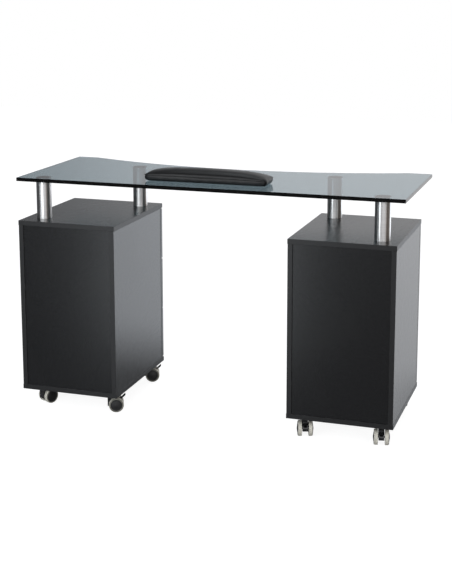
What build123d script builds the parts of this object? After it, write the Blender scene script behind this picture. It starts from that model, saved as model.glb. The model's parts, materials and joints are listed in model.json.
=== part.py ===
from build123d import *
import os

os.makedirs("parts", exist_ok=True)

# A manicure table: a glass top on four steel posts, which stand on two wheeled pedestals.
# X runs along the table, the client sits on the -Y side and the manicurist on the +Y side,
# and Z = 0 is the floor. The origin is the middle of the footprint. All sizes are in mm.

# ------------------------------------------------------------------ driving dimensions
# Glass top
glass_length = 1300.0
glass_depth = 492.0
glass_thickness = 12.0
glass_corner_radius = 12.0
glass_edge_bevel = 0.8
curve_depth = 108.0  # how far the manicurist's edge curves in at the middle
curve_end = 78.0  # straight stretch left at each end of that edge
curve_blend_radius = 30.0

# Pedestals
cabinet_width = 342.0
cabinet_depth = 432.0
cabinet_height = 580.0
board = 16.0  # thickness of every melamine board
edge_ease = 0.6
side_overhang = 18.0  # glass beyond each pedestal's outer side
client_setback = 29.0  # glass edge behind the pedestals' plain faces
side_step = 1.0  # side boards and fronts stand this far inside the top's edge
back_recess = 3.0
front_gap = 3.0  # between fronts and boards, and between one front and the next

# Posts
post_height = 126.0  # pedestal top to the underside of the glass
post_diameter = 50.0
post_wall = 1.5
post_side_inset = 60.0
post_near_inset = 74.0
post_far_inset = 57.0
plug_thickness = 12.0
disc_thickness = 4.0
bolt_radius = 4.0
bolt_hole_clearance = 0.5
bolt_head_radius = 6.5
bolt_head_height = 8.0
washer_radius = 12.0
washer_thickness = 2.0

# Wrist rest
pad_length = 420.0
pad_depth = 98.0
pad_middle_height = 43.0
pad_end_height = 20.0
pad_end_lean = 6.0  # the ends lean out this far above the base
pad_top_radius = 8.0
pad_setback = 62.0  # behind the client's glass edge
pad_offset = -15.0  # from the table's middle
pad_base_margin = 14.0
pad_base_thickness = 5.0
pad_base_clearance = 0.3
bumper_radius = 6.0
bumper_height = 2.0
bumper_inset = 18.0

# Cam fittings that hold the boards together
cam_radius = 7.5
cam_depth = 12.5
cam_setback = 34.0  # cam centre from the end of its board
cam_edge_inset = 60.0
cam_bolt_radius = 3.5
cam_bolt_grip = 10.0
cam_clearance = 0.1

# Drawers, in one pedestal
drawer_levels = ["bottom", "middle", "top"]
drawer_travel = 260.0
drawer_board = 12.0
drawer_bottom_thickness = 4.0
drawer_bottom_rise = 10.0
drawer_groove_depth = 5.0
drawer_groove_clearance = 0.1
drawer_floor_gap = 18.0
drawer_head_gap = 32.0
drawer_back_gap = 17.0
slide_space = 13.0
slide_length = 350.0
slide_height = 45.0
slide_sheet = 1.2
slide_reach = 10.7
slide_running_gap = 1.3
slide_front_setback = 2.0

# Handles
handle_length = 160.0
handle_pitch = 128.0
handle_bar_radius = 5.0
handle_foot_radius = 4.5
handle_projection = 25.0
handle_screw_radius = 2.0
handle_screw_grip = 8.0
handle_screw_head_radius = 4.0
handle_screw_head_height = 2.5
handle_hole_clearance = 0.3
door_handle_edge_inset = 40.0
door_handle_drop = 150.0

# Door and shelf, in the other pedestal
pivot_inset = 6.0  # door pivot from the door's hinge edge and from its inner face
pivot_radius = 2.5
pivot_running_gap = 0.05
pivot_depth = 10.0
pivot_washer_radius = 5.0
pivot_washer_gap = 0.5
bush_radius = 4.0
bush_length = 12.0
shelf_rise = 250.0
shelf_side_gap = 1.0
shelf_front_setback = 20.0
shelf_back_gap = 2.0
shelf_pin_radius = 2.5
shelf_pin_grip = 10.0
shelf_pin_reach = 9.0
shelf_pin_inset = 50.0

# Casters
caster_height = 65.0
caster_side_inset = 47.0
caster_near_inset = 57.0
caster_far_inset = 47.0
wheel_radius = 25.0
wheel_width = 13.0
wheel_gap = 22.0  # between the two wheels of one caster
wheel_shoulder = 4.0
hub_radius = 19.5
hub_dome = 2.5
axle_radius = 3.0
axle_running_gap = 0.05
trail = 19.0
fork_width = 18.0
fork_hood_radius = 18.0
fork_underside = 19.0
fork_stem_radius = 10.0
fork_flange_radius = 23.0
fork_flange_thickness = 7.0
swivel_gap = 0.3
plate_size = 48.0
plate_thickness = 2.5
kingpin_radius = 5.0
kingpin_length = 24.0
kingpin_running_gap = 0.05
kingpin_end_gap = 2.0
caster_screw_pitch = 35.0
caster_screw_radius = 2.0
caster_screw_length = 15.0
caster_screw_head_radius = 4.0
lever_pivot_x = 8.0  # from the axle, away from the swivel axis
lever_pivot_z = 12.0  # above the axle
lever_pin_radius = 1.5
lever_running_gap = 0.05
lever_root_radius = 4.0
lever_root_width = 9.4
lever_slot_gap = 0.6
lever_slot_margin = 1.5
lever_width = 18.0
lever_length = 30.0
lever_blade_start = 16.0
lever_thickness = 4.5
lever_angle = 39.0

# Every caster's place, the way its wheels trail (degrees from +X), and whether it has a brake
casters = {
    "left_near_outer": (-1, 1, -1, 62.0, False),
    "left_near_inner": (-1, -1, -1, 24.0, True),
    "left_far_outer": (-1, 1, 1, 140.0, False),
    "left_far_inner": (-1, -1, 1, 22.0, True),
    "right_near_inner": (1, -1, -1, -72.0, True),
    "right_near_outer": (1, 1, -1, -78.0, True),
    "right_far_inner": (1, -1, 1, 118.0, False),
    "right_far_outer": (1, 1, 1, 104.0, False),
}

# ------------------------------------------------------------------ levels and places
footprint_depth = max(client_setback + glass_depth, cabinet_depth)
near_face = -footprint_depth / 2
far_face = near_face + cabinet_depth
outer_face = glass_length / 2 - side_overhang
inner_face = outer_face - cabinet_width
cabinet_floor = caster_height
cabinet_top = cabinet_floor + cabinet_height
glass_under = cabinet_top + post_height
glass_upper = glass_under + glass_thickness
glass_near = near_face + client_setback
glass_far = glass_near + glass_depth
front_inner = far_face - board
carcass_far = front_inner - front_gap
back_inner = near_face + back_recess + board
opening_low = cabinet_floor + board
opening_high = cabinet_top - board
side_outer = outer_face - side_step
side_inner = inner_face + side_step
hollow_outer = side_outer - board
hollow_inner = side_inner + board
hollow_middle = (hollow_outer + hollow_inner) / 2


def save(name, shape):
    """Label a finished piece and write it as the node of that name."""
    shape.label = name
    export_step(shape, f"parts/{name}.step")


def slab(x0, x1, y0, y1, z0, z1, ease=edge_ease):
    """A board between three pairs of coordinates, with its edges eased."""
    with BuildPart() as made:
        with BuildSketch(Plane.XY.offset(min(z0, z1))):
            with Locations(((x0 + x1) / 2, (y0 + y1) / 2)):
                Rectangle(abs(x1 - x0), abs(y1 - y0))
        extrude(amount=abs(z1 - z0))
        if ease > 0:
            chamfer(made.edges(), ease)
    return made.part


def rod(x, y, z0, z1, radius):
    """An upright round bar from z0 up to z1."""
    with BuildPart() as made:
        with BuildSketch(Plane.XY.offset(z0)):
            with Locations((x, y)):
                Circle(radius)
        extrude(amount=z1 - z0)
    return made.part


# ------------------------------------------------------------------ glass top
with BuildPart() as glass_top:
    with BuildSketch(Plane.XY.offset(glass_under)) as glass_outline:
        with BuildLine():
            Polyline(
                (-glass_length / 2 + curve_end, glass_far),
                (-glass_length / 2, glass_far),
                (-glass_length / 2, glass_near),
                (glass_length / 2, glass_near),
                (glass_length / 2, glass_far),
                (glass_length / 2 - curve_end, glass_far),
            )
            ThreePointArc(
                (glass_length / 2 - curve_end, glass_far),
                (0, glass_far - curve_depth),
                (-glass_length / 2 + curve_end, glass_far),
            )
        make_face()
        curve_corners = glass_outline.vertices().filter_by(
            lambda v: v.Y > 0 and abs(v.X) < glass_length / 2 - curve_end / 2
        )
        plain_corners = glass_outline.vertices().filter_by(
            lambda v: abs(v.X) > glass_length / 2 - curve_end / 2
        )
        fillet(curve_corners, curve_blend_radius)
        fillet(plain_corners, glass_corner_radius)
    extrude(amount=glass_thickness)
    rims = glass_top.faces().sort_by(Axis.Z)
    chamfer(rims[0].edges() + rims[-1].edges(), glass_edge_bevel)
save("glass_top", glass_top.part)

# ------------------------------------------------------------------ posts
post_places = {}
for hand, side in (("left", -1), ("right", 1)):
    post_places[f"{hand}_near"] = (side * (outer_face - post_side_inset), near_face + post_near_inset)
    post_places[f"{hand}_far"] = (side * (inner_face + post_side_inset), far_face - post_far_inset)

tube_top = glass_under - disc_thickness
plug_radius = post_diameter / 2 - post_wall
for place, (post_x, post_y) in post_places.items():
    with BuildPart() as post:
        with BuildSketch(Plane.XY.offset(cabinet_top)):
            with Locations((post_x, post_y)):
                Circle(post_diameter / 2)
                Circle(plug_radius, mode=Mode.SUBTRACT)
        extrude(amount=tube_top - cabinet_top)
    save(f"post_{place}", post.part)

plugs = []
bolts = []
discs = []
for post_x, post_y in post_places.values():
    for plug_z in (cabinet_top, tube_top - plug_thickness):
        with BuildPart() as plug:
            with BuildSketch(Plane.XY.offset(plug_z)):
                with Locations((post_x, post_y)):
                    Circle(plug_radius)
                    Circle(bolt_radius, mode=Mode.SUBTRACT)
            extrude(amount=plug_thickness)
        plugs.append(plug.part)
    with BuildPart() as disc:
        with BuildSketch(Plane.XY.offset(tube_top)):
            with Locations((post_x, post_y)):
                Circle(post_diameter / 2)
        extrude(amount=disc_thickness)
        with BuildSketch(Plane.XY.offset(tube_top - plug_thickness)):
            with Locations((post_x, post_y)):
                Circle(bolt_radius)
        extrude(amount=plug_thickness)
    discs.append(disc.part)
    with BuildPart() as washer:
        with BuildSketch(Plane.XY.offset(opening_high - washer_thickness)):
            with Locations((post_x, post_y)):
                Circle(washer_radius)
                Circle(bolt_radius + bolt_hole_clearance, mode=Mode.SUBTRACT)
        extrude(amount=washer_thickness)
    with BuildPart() as bolt:
        with BuildSketch(Plane.XY.offset(opening_high - washer_thickness - bolt_head_height)):
            with Locations((post_x, post_y)):
                Circle(bolt_head_radius)
        extrude(amount=bolt_head_height)
        with BuildSketch(Plane.XY.offset(opening_high - washer_thickness)):
            with Locations((post_x, post_y)):
                Circle(bolt_radius)
        extrude(amount=washer_thickness + board + plug_thickness)
    bolts.append(washer.part)
    bolts.append(bolt.part)
save("post_plugs", Compound(children=plugs))
save("glass_mount_discs", Compound(children=discs))
save("post_bolts", Compound(children=bolts))

# ------------------------------------------------------------------ wrist rest
pad_near = glass_near + pad_setback
pad_under = glass_upper + bumper_height
pad_foot = pad_length / 2 - pad_end_lean
with BuildPart() as wrist_rest_pad:
    with BuildSketch(Plane.XZ.offset(-pad_near)):
        with BuildLine():
            Polyline(
                (pad_offset - pad_length / 2, pad_under + pad_end_height),
                (pad_offset - pad_foot, pad_under),
                (pad_offset + pad_foot, pad_under),
                (pad_offset + pad_length / 2, pad_under + pad_end_height),
            )
            ThreePointArc(
                (pad_offset + pad_length / 2, pad_under + pad_end_height),
                (pad_offset, pad_under + pad_middle_height),
                (pad_offset - pad_length / 2, pad_under + pad_end_height),
            )
        make_face()
    extrude(amount=-pad_depth)
    fillet(wrist_rest_pad.edges().filter_by(GeomType.CIRCLE), pad_top_radius)
    with BuildSketch(Plane.XY.offset(pad_under)):
        with Locations((pad_offset, pad_near + pad_depth / 2)):
            Rectangle(
                2 * (pad_foot - pad_base_margin + pad_base_clearance),
                pad_depth - 2 * (pad_base_margin - pad_base_clearance),
            )
    extrude(amount=pad_base_thickness + pad_base_clearance, mode=Mode.SUBTRACT)
save("wrist_rest_pad", wrist_rest_pad.part)

pad_base_length = 2 * (pad_foot - pad_base_margin)
pad_base_depth = pad_depth - 2 * pad_base_margin
base_pieces = [
    slab(
        pad_offset - pad_base_length / 2,
        pad_offset + pad_base_length / 2,
        pad_near + pad_base_margin,
        pad_near + pad_depth - pad_base_margin,
        pad_under,
        pad_under + pad_base_thickness,
    )
]
for end in (-1, 1):
    for edge in (-1, 1):
        base_pieces.append(
            rod(
                pad_offset + end * (pad_base_length / 2 - bumper_inset),
                pad_near + pad_depth / 2 + edge * (pad_base_depth / 2 - bumper_inset),
                glass_upper,
                pad_under,
                bumper_radius,
            )
        )
save("wrist_rest_base", Compound(children=base_pieces))

# ------------------------------------------------------------------ pedestal boards
cam_rows = (near_face + cam_edge_inset, carcass_far - cam_edge_inset)
shelf_rows = (back_inner + shelf_pin_inset, carcass_far - shelf_front_setback - shelf_pin_inset)
shelf_under = opening_low + shelf_rise
caster_screw_spots = [
    (u * caster_screw_pitch / 2, v * caster_screw_pitch / 2) for u in (-1, 1) for v in (-1, 1)
]
caster_places = {}
for place, (side, outward, far, heading, braked) in casters.items():
    caster_x = outer_face - caster_side_inset if outward > 0 else inner_face + caster_side_inset
    caster_y = far_face - caster_far_inset if far > 0 else near_face + caster_near_inset
    caster_places[place] = (side * caster_x, caster_y)

door_outer = side_outer
pivot_x = door_outer - pivot_inset
pivot_y = front_inner + pivot_inset

fittings = []
for hand, side in (("left", -1), ("right", 1)):
    side_middles = (side * (side_outer - board / 2), side * (side_inner + board / 2))

    # The top and the bottom run the whole width and depth, over the ends of the sides
    for level, low in (("top", opening_high), ("bottom", cabinet_floor)):
        inside_z = low if level == "top" else low + board
        inward = 1 if level == "top" else -1
        with BuildPart() as flat_board:
            add(slab(side * inner_face, side * outer_face, near_face, far_face, low, low + board))
            for cam_y in cam_rows:
                for cam_x in side_middles:
                    with Locations(Plane((cam_x, cam_y, inside_z), z_dir=(0, 0, -inward))):
                        Hole(cam_bolt_radius, cam_bolt_grip)
            if level == "top":
                for place in (f"{hand}_near", f"{hand}_far"):
                    with Locations(Plane((*post_places[place], low + board))):
                        Hole(bolt_radius + bolt_hole_clearance)
            else:
                for place, (caster_x, caster_y) in caster_places.items():
                    if not place.startswith(hand):
                        continue
                    under = Plane((caster_x, caster_y, low), z_dir=(0, 0, -1))
                    with Locations(under):
                        with Locations(*caster_screw_spots):
                            Hole(caster_screw_radius, caster_screw_length - plate_thickness)
            if hand == "right":
                with Locations(Plane((pivot_x, pivot_y, inside_z), z_dir=(0, 0, -inward))):
                    Hole(pivot_radius, pivot_depth)
        save(f"{hand}_cabinet_{level}", flat_board.part)

    # Each side has bores for the cams on its inner face and for their bolts in its two ends
    for name, outer_x, facing in (("outer", side_outer, -1), ("inner", side_inner, 1)):
        inside_x = outer_x + facing * board
        middle_x = outer_x + facing * board / 2
        with BuildPart() as side_board:
            add(
                slab(side * outer_x, side * inside_x, near_face, carcass_far, opening_low, opening_high)
            )
            for end_z, inward in ((opening_low, 1), (opening_high, -1)):
                cam_z = end_z + inward * cam_setback
                for cam_y in cam_rows:
                    with Locations(Plane((side * inside_x, cam_y, cam_z), z_dir=(side * facing, 0, 0))):
                        Hole(cam_radius, cam_depth)
                    with Locations(Plane((side * middle_x, cam_y, end_z), z_dir=(0, 0, -inward))):
                        Hole(cam_bolt_radius, cam_setback)
            if hand == "right":
                for pin_y in shelf_rows:
                    pin_plane = Plane(
                        (side * inside_x, pin_y, shelf_under - shelf_pin_radius),
                        z_dir=(side * facing, 0, 0),
                    )
                    with Locations(pin_plane):
                        Hole(shelf_pin_radius, shelf_pin_grip)
        save(f"{hand}_cabinet_{name}_side", side_board.part)

        for end_z, inward in ((opening_low, 1), (opening_high, -1)):
            cam_z = end_z + inward * cam_setback
            for cam_y in cam_rows:
                with BuildPart() as cam:
                    with BuildSketch(
                        Plane((side * inside_x, cam_y, cam_z), z_dir=(-side * facing, 0, 0))
                    ):
                        Circle(cam_radius - cam_clearance)
                    extrude(amount=cam_depth)
                fittings.append(cam.part)
                bolt_ends = sorted(
                    (end_z - inward * cam_bolt_grip, cam_z - inward * cam_radius)
                )
                fittings.append(rod(side * middle_x, cam_y, *bolt_ends, cam_bolt_radius))
        if hand == "right":
            for pin_y in shelf_rows:
                with BuildPart() as shelf_pin:
                    with BuildSketch(
                        Plane(
                            (
                                side * (inside_x - facing * shelf_pin_grip),
                                pin_y,
                                shelf_under - shelf_pin_radius,
                            ),
                            z_dir=(side * facing, 0, 0),
                        )
                    ):
                        Circle(shelf_pin_radius)
                    extrude(amount=shelf_pin_grip + shelf_pin_reach)
                fittings.append(shelf_pin.part)

    back = slab(
        side * hollow_inner,
        side * hollow_outer,
        near_face + back_recess,
        back_inner,
        opening_low,
        opening_high,
    )
    save(f"{hand}_cabinet_back", back)
save("carcass_fittings", Compound(children=fittings))

# ------------------------------------------------------------------ drawers, left pedestal
drawer_count = len(drawer_levels)
front_height = (opening_high - opening_low - (drawer_count + 1) * front_gap) / drawer_count
box_outer = hollow_outer - slide_space
box_inner = hollow_inner + slide_space
box_back = back_inner + drawer_back_gap
slide_far = carcass_far - slide_front_setback
slide_near = slide_far - slide_length


def handle(centre_x, centre_z, upright, clamp):
    """A bar handle on two feet, and the two screws that hold it through a stack clamp thick."""
    run = (0, 0, 1) if upright else (1, 0, 0)
    bar_start = Vector(centre_x, far_face + handle_projection, centre_z) - Vector(*run) * handle_length / 2
    with BuildPart() as grip:
        with BuildSketch(Plane(bar_start, z_dir=run)):
            Circle(handle_bar_radius)
        extrude(amount=handle_length)
        chamfer(grip.edges(), edge_ease)
        for end in (-1, 1):
            foot = Vector(centre_x, far_face, centre_z) + Vector(*run) * end * handle_pitch / 2
            with BuildSketch(Plane(foot, z_dir=(0, 1, 0))):
                Circle(handle_foot_radius)
            extrude(amount=handle_projection)
        for end in (-1, 1):
            foot = Vector(centre_x, far_face, centre_z) + Vector(*run) * end * handle_pitch / 2
            with Locations(Plane(foot, z_dir=(0, -1, 0))):
                Hole(handle_screw_radius, handle_screw_grip)
    pieces = [grip.part]
    for end in (-1, 1):
        head = Vector(centre_x, far_face - clamp, centre_z) + Vector(*run) * end * handle_pitch / 2
        with BuildPart() as screw:
            with BuildSketch(Plane(head, z_dir=(0, -1, 0))):
                Circle(handle_screw_head_radius)
            extrude(amount=handle_screw_head_height)
            with BuildSketch(Plane(head, z_dir=(0, 1, 0))):
                Circle(handle_screw_radius)
            extrude(amount=clamp + handle_screw_grip)
        pieces.append(screw.part)
    return Compound(children=pieces)


def handle_holes(centre_x, centre_z, upright):
    """The two places where a handle's screws go through a board, on the far face."""
    reach = handle_pitch / 2
    steps = ((0, -reach), (0, reach)) if upright else ((-reach, 0), (reach, 0))
    return [Plane((centre_x + u, far_face, centre_z + v), z_dir=(0, 1, 0)) for u, v in steps]


def slide_member(wall_x, reach, height, z):
    """A steel channel along Y: its web stands at wall_x, and its flanges reach along X."""
    inward = 1 if reach > 0 else -1
    with BuildPart() as channel:
        with BuildSketch(Plane.XZ.offset(-slide_near)):
            with Locations((wall_x + reach / 2, z)):
                Rectangle(abs(reach), height)
            with Locations((wall_x + inward * slide_sheet + reach / 2, z)):
                Rectangle(abs(reach), height - 2 * slide_sheet, mode=Mode.SUBTRACT)
        extrude(amount=-slide_length)
    return channel.part


rails = []
for index, level in enumerate(drawer_levels):
    front_low = opening_low + front_gap + index * (front_height + front_gap)
    front_middle = front_low + front_height / 2
    box_low = front_low + drawer_floor_gap
    box_high = front_low + front_height - drawer_head_gap
    slide_z = (box_low + box_high) / 2
    left, right = -box_outer, -box_inner
    middle_x = (left + right) / 2
    holes = handle_holes(middle_x, front_middle, upright=False)

    with BuildPart() as drawer_front:
        add(slab(-side_outer, -side_inner, front_inner, far_face, front_low, front_low + front_height))
        with Locations(*holes):
            Hole(handle_screw_radius + handle_hole_clearance, board)
    save(f"drawer_{level}_front", drawer_front.part)

    # Four boards round a thin bottom that slides in their grooves
    groove_low = box_low + drawer_bottom_rise
    groove_high = groove_low + drawer_bottom_thickness
    bottom_reach = drawer_groove_depth - drawer_groove_clearance
    boards = [
        (left, left + drawer_board, box_back, front_inner, False),
        (right - drawer_board, right, box_back, front_inner, False),
        (left + drawer_board, right - drawer_board, box_back, box_back + drawer_board, False),
        (left + drawer_board, right - drawer_board, front_inner - drawer_board, front_inner, True),
    ]
    box_pieces = []
    for x0, x1, y0, y1, behind_front in boards:
        with BuildPart() as box_board:
            add(slab(x0, x1, y0, y1, box_low, box_high, ease=0))
            with BuildSketch(Plane.XY.offset(groove_low)):
                with Locations((middle_x, (box_back + front_inner) / 2)):
                    Rectangle(
                        right - left - 2 * (drawer_board - drawer_groove_depth),
                        front_inner - box_back - 2 * (drawer_board - drawer_groove_depth),
                    )
            extrude(amount=groove_high - groove_low, mode=Mode.SUBTRACT)
            if behind_front:
                with Locations(*holes):
                    Hole(handle_screw_radius + handle_hole_clearance, board + drawer_board)
        box_pieces.append(box_board.part)
    box_pieces.append(
        slab(
            left + drawer_board - bottom_reach,
            right - drawer_board + bottom_reach,
            box_back + drawer_board - bottom_reach,
            front_inner - drawer_board + bottom_reach,
            groove_low,
            groove_high,
            ease=0,
        )
    )
    save(f"drawer_{level}_box", Compound(children=box_pieces))
    save(f"drawer_{level}_handle", handle(middle_x, front_middle, False, board + drawer_board))

    runner_height = slide_height - 2 * (slide_sheet + slide_running_gap)
    runners = [
        slide_member(left, -slide_reach, runner_height, slide_z),
        slide_member(right, slide_reach, runner_height, slide_z),
    ]
    save(f"drawer_{level}_runners", Compound(children=runners))
    rails.append(slide_member(-hollow_outer, slide_reach, slide_height, slide_z))
    rails.append(slide_member(-hollow_inner, -slide_reach, slide_height, slide_z))
save("drawer_slide_rails", Compound(children=rails))

# ------------------------------------------------------------------ door and shelf, right pedestal
door_low = opening_low + front_gap
door_high = opening_high - front_gap
door_handle_x = side_inner + door_handle_edge_inset
door_handle_z = door_high - door_handle_drop
with BuildPart() as door:
    add(slab(side_inner, side_outer, front_inner, far_face, door_low, door_high))
    with Locations(*handle_holes(door_handle_x, door_handle_z, upright=True)):
        Hole(handle_screw_radius + handle_hole_clearance, board)
    with Locations(
        Plane((pivot_x, pivot_y, door_high)),
        Plane((pivot_x, pivot_y, door_low), z_dir=(0, 0, -1)),
    ):
        Hole(bush_radius, bush_length)
save("door", door.part)
save("door_handle", handle(door_handle_x, door_handle_z, True, board))

bushes = []
pivots = []
for door_z, board_z, inward in ((door_high, opening_high, -1), (door_low, opening_low, 1)):
    with BuildPart() as bush:
        with BuildSketch(Plane((pivot_x, pivot_y, door_z), z_dir=(0, 0, inward))):
            Circle(bush_radius)
            Circle(pivot_radius + pivot_running_gap, mode=Mode.SUBTRACT)
        extrude(amount=bush_length)
    bushes.append(bush.part)
    with BuildPart() as pivot:
        with BuildSketch(Plane((pivot_x, pivot_y, board_z), z_dir=(0, 0, -inward))):
            Circle(pivot_radius)
        extrude(amount=pivot_depth)
        with BuildSketch(Plane((pivot_x, pivot_y, board_z), z_dir=(0, 0, inward))):
            Circle(pivot_radius)
        extrude(amount=front_gap + pivot_depth)
        with BuildSketch(Plane((pivot_x, pivot_y, board_z), z_dir=(0, 0, inward))):
            Circle(pivot_washer_radius)
        extrude(amount=front_gap - pivot_washer_gap)
    pivots.append(pivot.part)
save("door_pivot_bushes", Compound(children=bushes))
save("door_pivot_pins", Compound(children=pivots))

shelf = slab(
    hollow_inner + shelf_side_gap,
    hollow_outer - shelf_side_gap,
    back_inner + shelf_back_gap,
    carcass_far - shelf_front_setback,
    shelf_under,
    shelf_under + board,
)
save("shelf", shelf)

# ------------------------------------------------------------------ casters
# Each caster is made at the origin with its wheels trailing along +X, then set in its place
plate_under = caster_height - plate_thickness
flange_top = plate_under - swivel_gap
flange_under = flange_top - fork_flange_thickness
lever_pivot = (trail + lever_pivot_x, wheel_radius + lever_pivot_z)


def caster_plate():
    """The fixed plate, the kingpin riveted into it, and the four screws that hold it."""
    with BuildPart() as plate:
        with BuildSketch(Plane.XY.offset(plate_under)):
            RectangleRounded(plate_size, plate_size, kingpin_radius)
            Circle(kingpin_radius, mode=Mode.SUBTRACT)
        extrude(amount=plate_thickness)
        with Locations(Plane((0, 0, plate_under), z_dir=(0, 0, -1))):
            with Locations(*caster_screw_spots):
                CounterSinkHole(caster_screw_radius, caster_screw_head_radius)
    kingpin = rod(0, 0, plate_under - kingpin_length, plate_under + plate_thickness, kingpin_radius)
    pieces = [plate.part, kingpin]
    for u, v in caster_screw_spots:
        with BuildPart() as screw:
            with Locations((u, v, plate_under)):
                Cone(
                    caster_screw_head_radius,
                    caster_screw_radius,
                    caster_screw_head_radius - caster_screw_radius,
                    align=(Align.CENTER, Align.CENTER, Align.MIN),
                )
                Cylinder(
                    caster_screw_radius,
                    caster_screw_length,
                    align=(Align.CENTER, Align.CENTER, Align.MIN),
                )
        pieces.append(screw.part)
    return pieces


def caster_fork(braked):
    """The swivelling body with its axle, and the brake lever's pin where there is a brake."""
    with BuildPart() as fork:
        with BuildSketch(Plane.XZ):
            with Locations((trail, wheel_radius)):
                Circle(fork_hood_radius)
            stem_height = flange_under - fork_underside
            with Locations((trail / 2 - fork_stem_radius / 2, fork_underside + stem_height / 2)):
                Rectangle(trail + fork_stem_radius, stem_height)
            with Locations((trail, fork_underside / 2)):
                Rectangle(4 * fork_hood_radius, fork_underside, mode=Mode.SUBTRACT)
        extrude(amount=fork_width / 2, both=True)
        with BuildSketch(Plane.XY.offset(flange_under)):
            Circle(fork_flange_radius)
        extrude(amount=fork_flange_thickness)
        with BuildSketch(Plane.XY.offset(fork_underside)):
            Circle(fork_stem_radius)
        extrude(amount=stem_height)
        with Locations(Plane((0, 0, flange_top))):
            Hole(kingpin_radius + kingpin_running_gap, kingpin_length + kingpin_end_gap)
        with Locations(Plane((trail, -fork_width / 2, wheel_radius), z_dir=(0, -1, 0))):
            Hole(axle_radius)
        if braked:
            slot_corner = lever_root_radius + lever_slot_margin
            with BuildSketch(Plane.XZ):
                with Locations((lever_pivot[0] - slot_corner, lever_pivot[1] - slot_corner)):
                    Rectangle(
                        2 * fork_hood_radius,
                        2 * fork_hood_radius,
                        align=(Align.MIN, Align.MIN),
                    )
            extrude(
                amount=lever_root_width / 2 + lever_slot_gap, both=True, mode=Mode.SUBTRACT
            )
            with Locations(Plane((lever_pivot[0], -fork_width / 2, lever_pivot[1]), z_dir=(0, -1, 0))):
                Hole(lever_pin_radius)
    with BuildPart() as axle:
        with BuildSketch(Plane.XZ):
            with Locations((trail, wheel_radius)):
                Circle(axle_radius)
        extrude(amount=wheel_gap / 2 + wheel_width - hub_dome, both=True)
    pieces = [fork.part, axle.part]
    if braked:
        with BuildPart() as lever_pin:
            with BuildSketch(Plane.XZ):
                with Locations(lever_pivot):
                    Circle(lever_pin_radius)
            extrude(amount=fork_width / 2, both=True)
        pieces.append(lever_pin.part)
    return pieces


def caster_wheels():
    """Two wheels, each a soft tread on a hub whose outer face is a low dome."""
    inner = wheel_gap / 2
    outer = inner + wheel_width
    bore = axle_radius + axle_running_gap
    dome_radius = (hub_radius**2 + hub_dome**2) / (2 * hub_dome)
    with BuildPart() as tread:
        with BuildSketch(Plane.XY):
            with BuildLine():
                Polyline(
                    (outer, hub_radius),
                    (inner, hub_radius),
                    (inner, wheel_radius),
                    (outer - wheel_shoulder, wheel_radius),
                )
                RadiusArc(
                    (outer - wheel_shoulder, wheel_radius),
                    (outer, wheel_radius - wheel_shoulder),
                    wheel_shoulder,
                )
                Line((outer, wheel_radius - wheel_shoulder), (outer, hub_radius))
            make_face()
        revolve(axis=Axis.X)
    with BuildPart() as hub:
        with BuildSketch(Plane.XY):
            with BuildLine():
                Polyline(
                    (outer + hub_dome, 0),
                    (outer - hub_dome / 2, 0),
                    (outer - hub_dome / 2, bore),
                    (inner, bore),
                    (inner, hub_radius),
                    (outer, hub_radius),
                )
                RadiusArc((outer, hub_radius), (outer + hub_dome, 0), dome_radius)
            make_face()
        revolve(axis=Axis.X)
    pieces = []
    for turn in (90, -90):
        stand = Location((trail, 0, wheel_radius), (0, 0, turn))
        pieces.append(tread.part.moved(stand))
        pieces.append(hub.part.moved(stand))
    return pieces


def caster_lever():
    """The brake lever: a round root on its pin, and a wider blade to step on."""
    blade = Plane(
        (lever_pivot[0], 0, lever_pivot[1]),
        x_dir=Vector(1, 0, 0).rotate(Axis.Y, -lever_angle),
        z_dir=(0, -1, 0),
    )
    with BuildPart() as lever:
        with BuildSketch(blade):
            Circle(lever_root_radius)
            with Locations((lever_blade_start / 2, 0)):
                Rectangle(lever_blade_start, lever_thickness)
        extrude(amount=lever_root_width / 2, both=True)
        with BuildSketch(blade):
            with Locations(((lever_blade_start + lever_length) / 2, 0)):
                RectangleRounded(
                    lever_length - lever_blade_start, lever_thickness, lever_thickness / 3
                )
        extrude(amount=lever_width / 2, both=True)
        with Locations(Plane((lever_pivot[0], -lever_root_width / 2, lever_pivot[1]), z_dir=(0, -1, 0))):
            Hole(lever_pin_radius + lever_running_gap)
    return lever.part


plates = []
for place, (side, outward, far, heading, braked) in casters.items():
    spot = Location((*caster_places[place], 0), (0, 0, heading))
    square = Location((*caster_places[place], 0))
    plates += [piece.moved(square) for piece in caster_plate()]
    fork_pieces = [piece.moved(spot) for piece in caster_fork(braked)]
    wheel_pieces = [piece.moved(spot) for piece in caster_wheels()]
    save(f"caster_{place}_fork", Compound(children=fork_pieces))
    save(f"caster_{place}_wheels", Compound(children=wheel_pieces))
    if braked:
        save(f"caster_{place}_brake_lever", caster_lever().moved(spot))
save("caster_plates", Compound(children=plates))
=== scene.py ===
"""Looks of a manicure table: a smoked glass top on four steel posts and two black wheeled pedestals.

All sizes are in metres, in the table's own frame: X runs along the table, the client sits on the -Y side,
and Z = 0 is the floor.
"""

import json
import logging
import math
from dataclasses import dataclass, field
from enum import Enum

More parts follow.
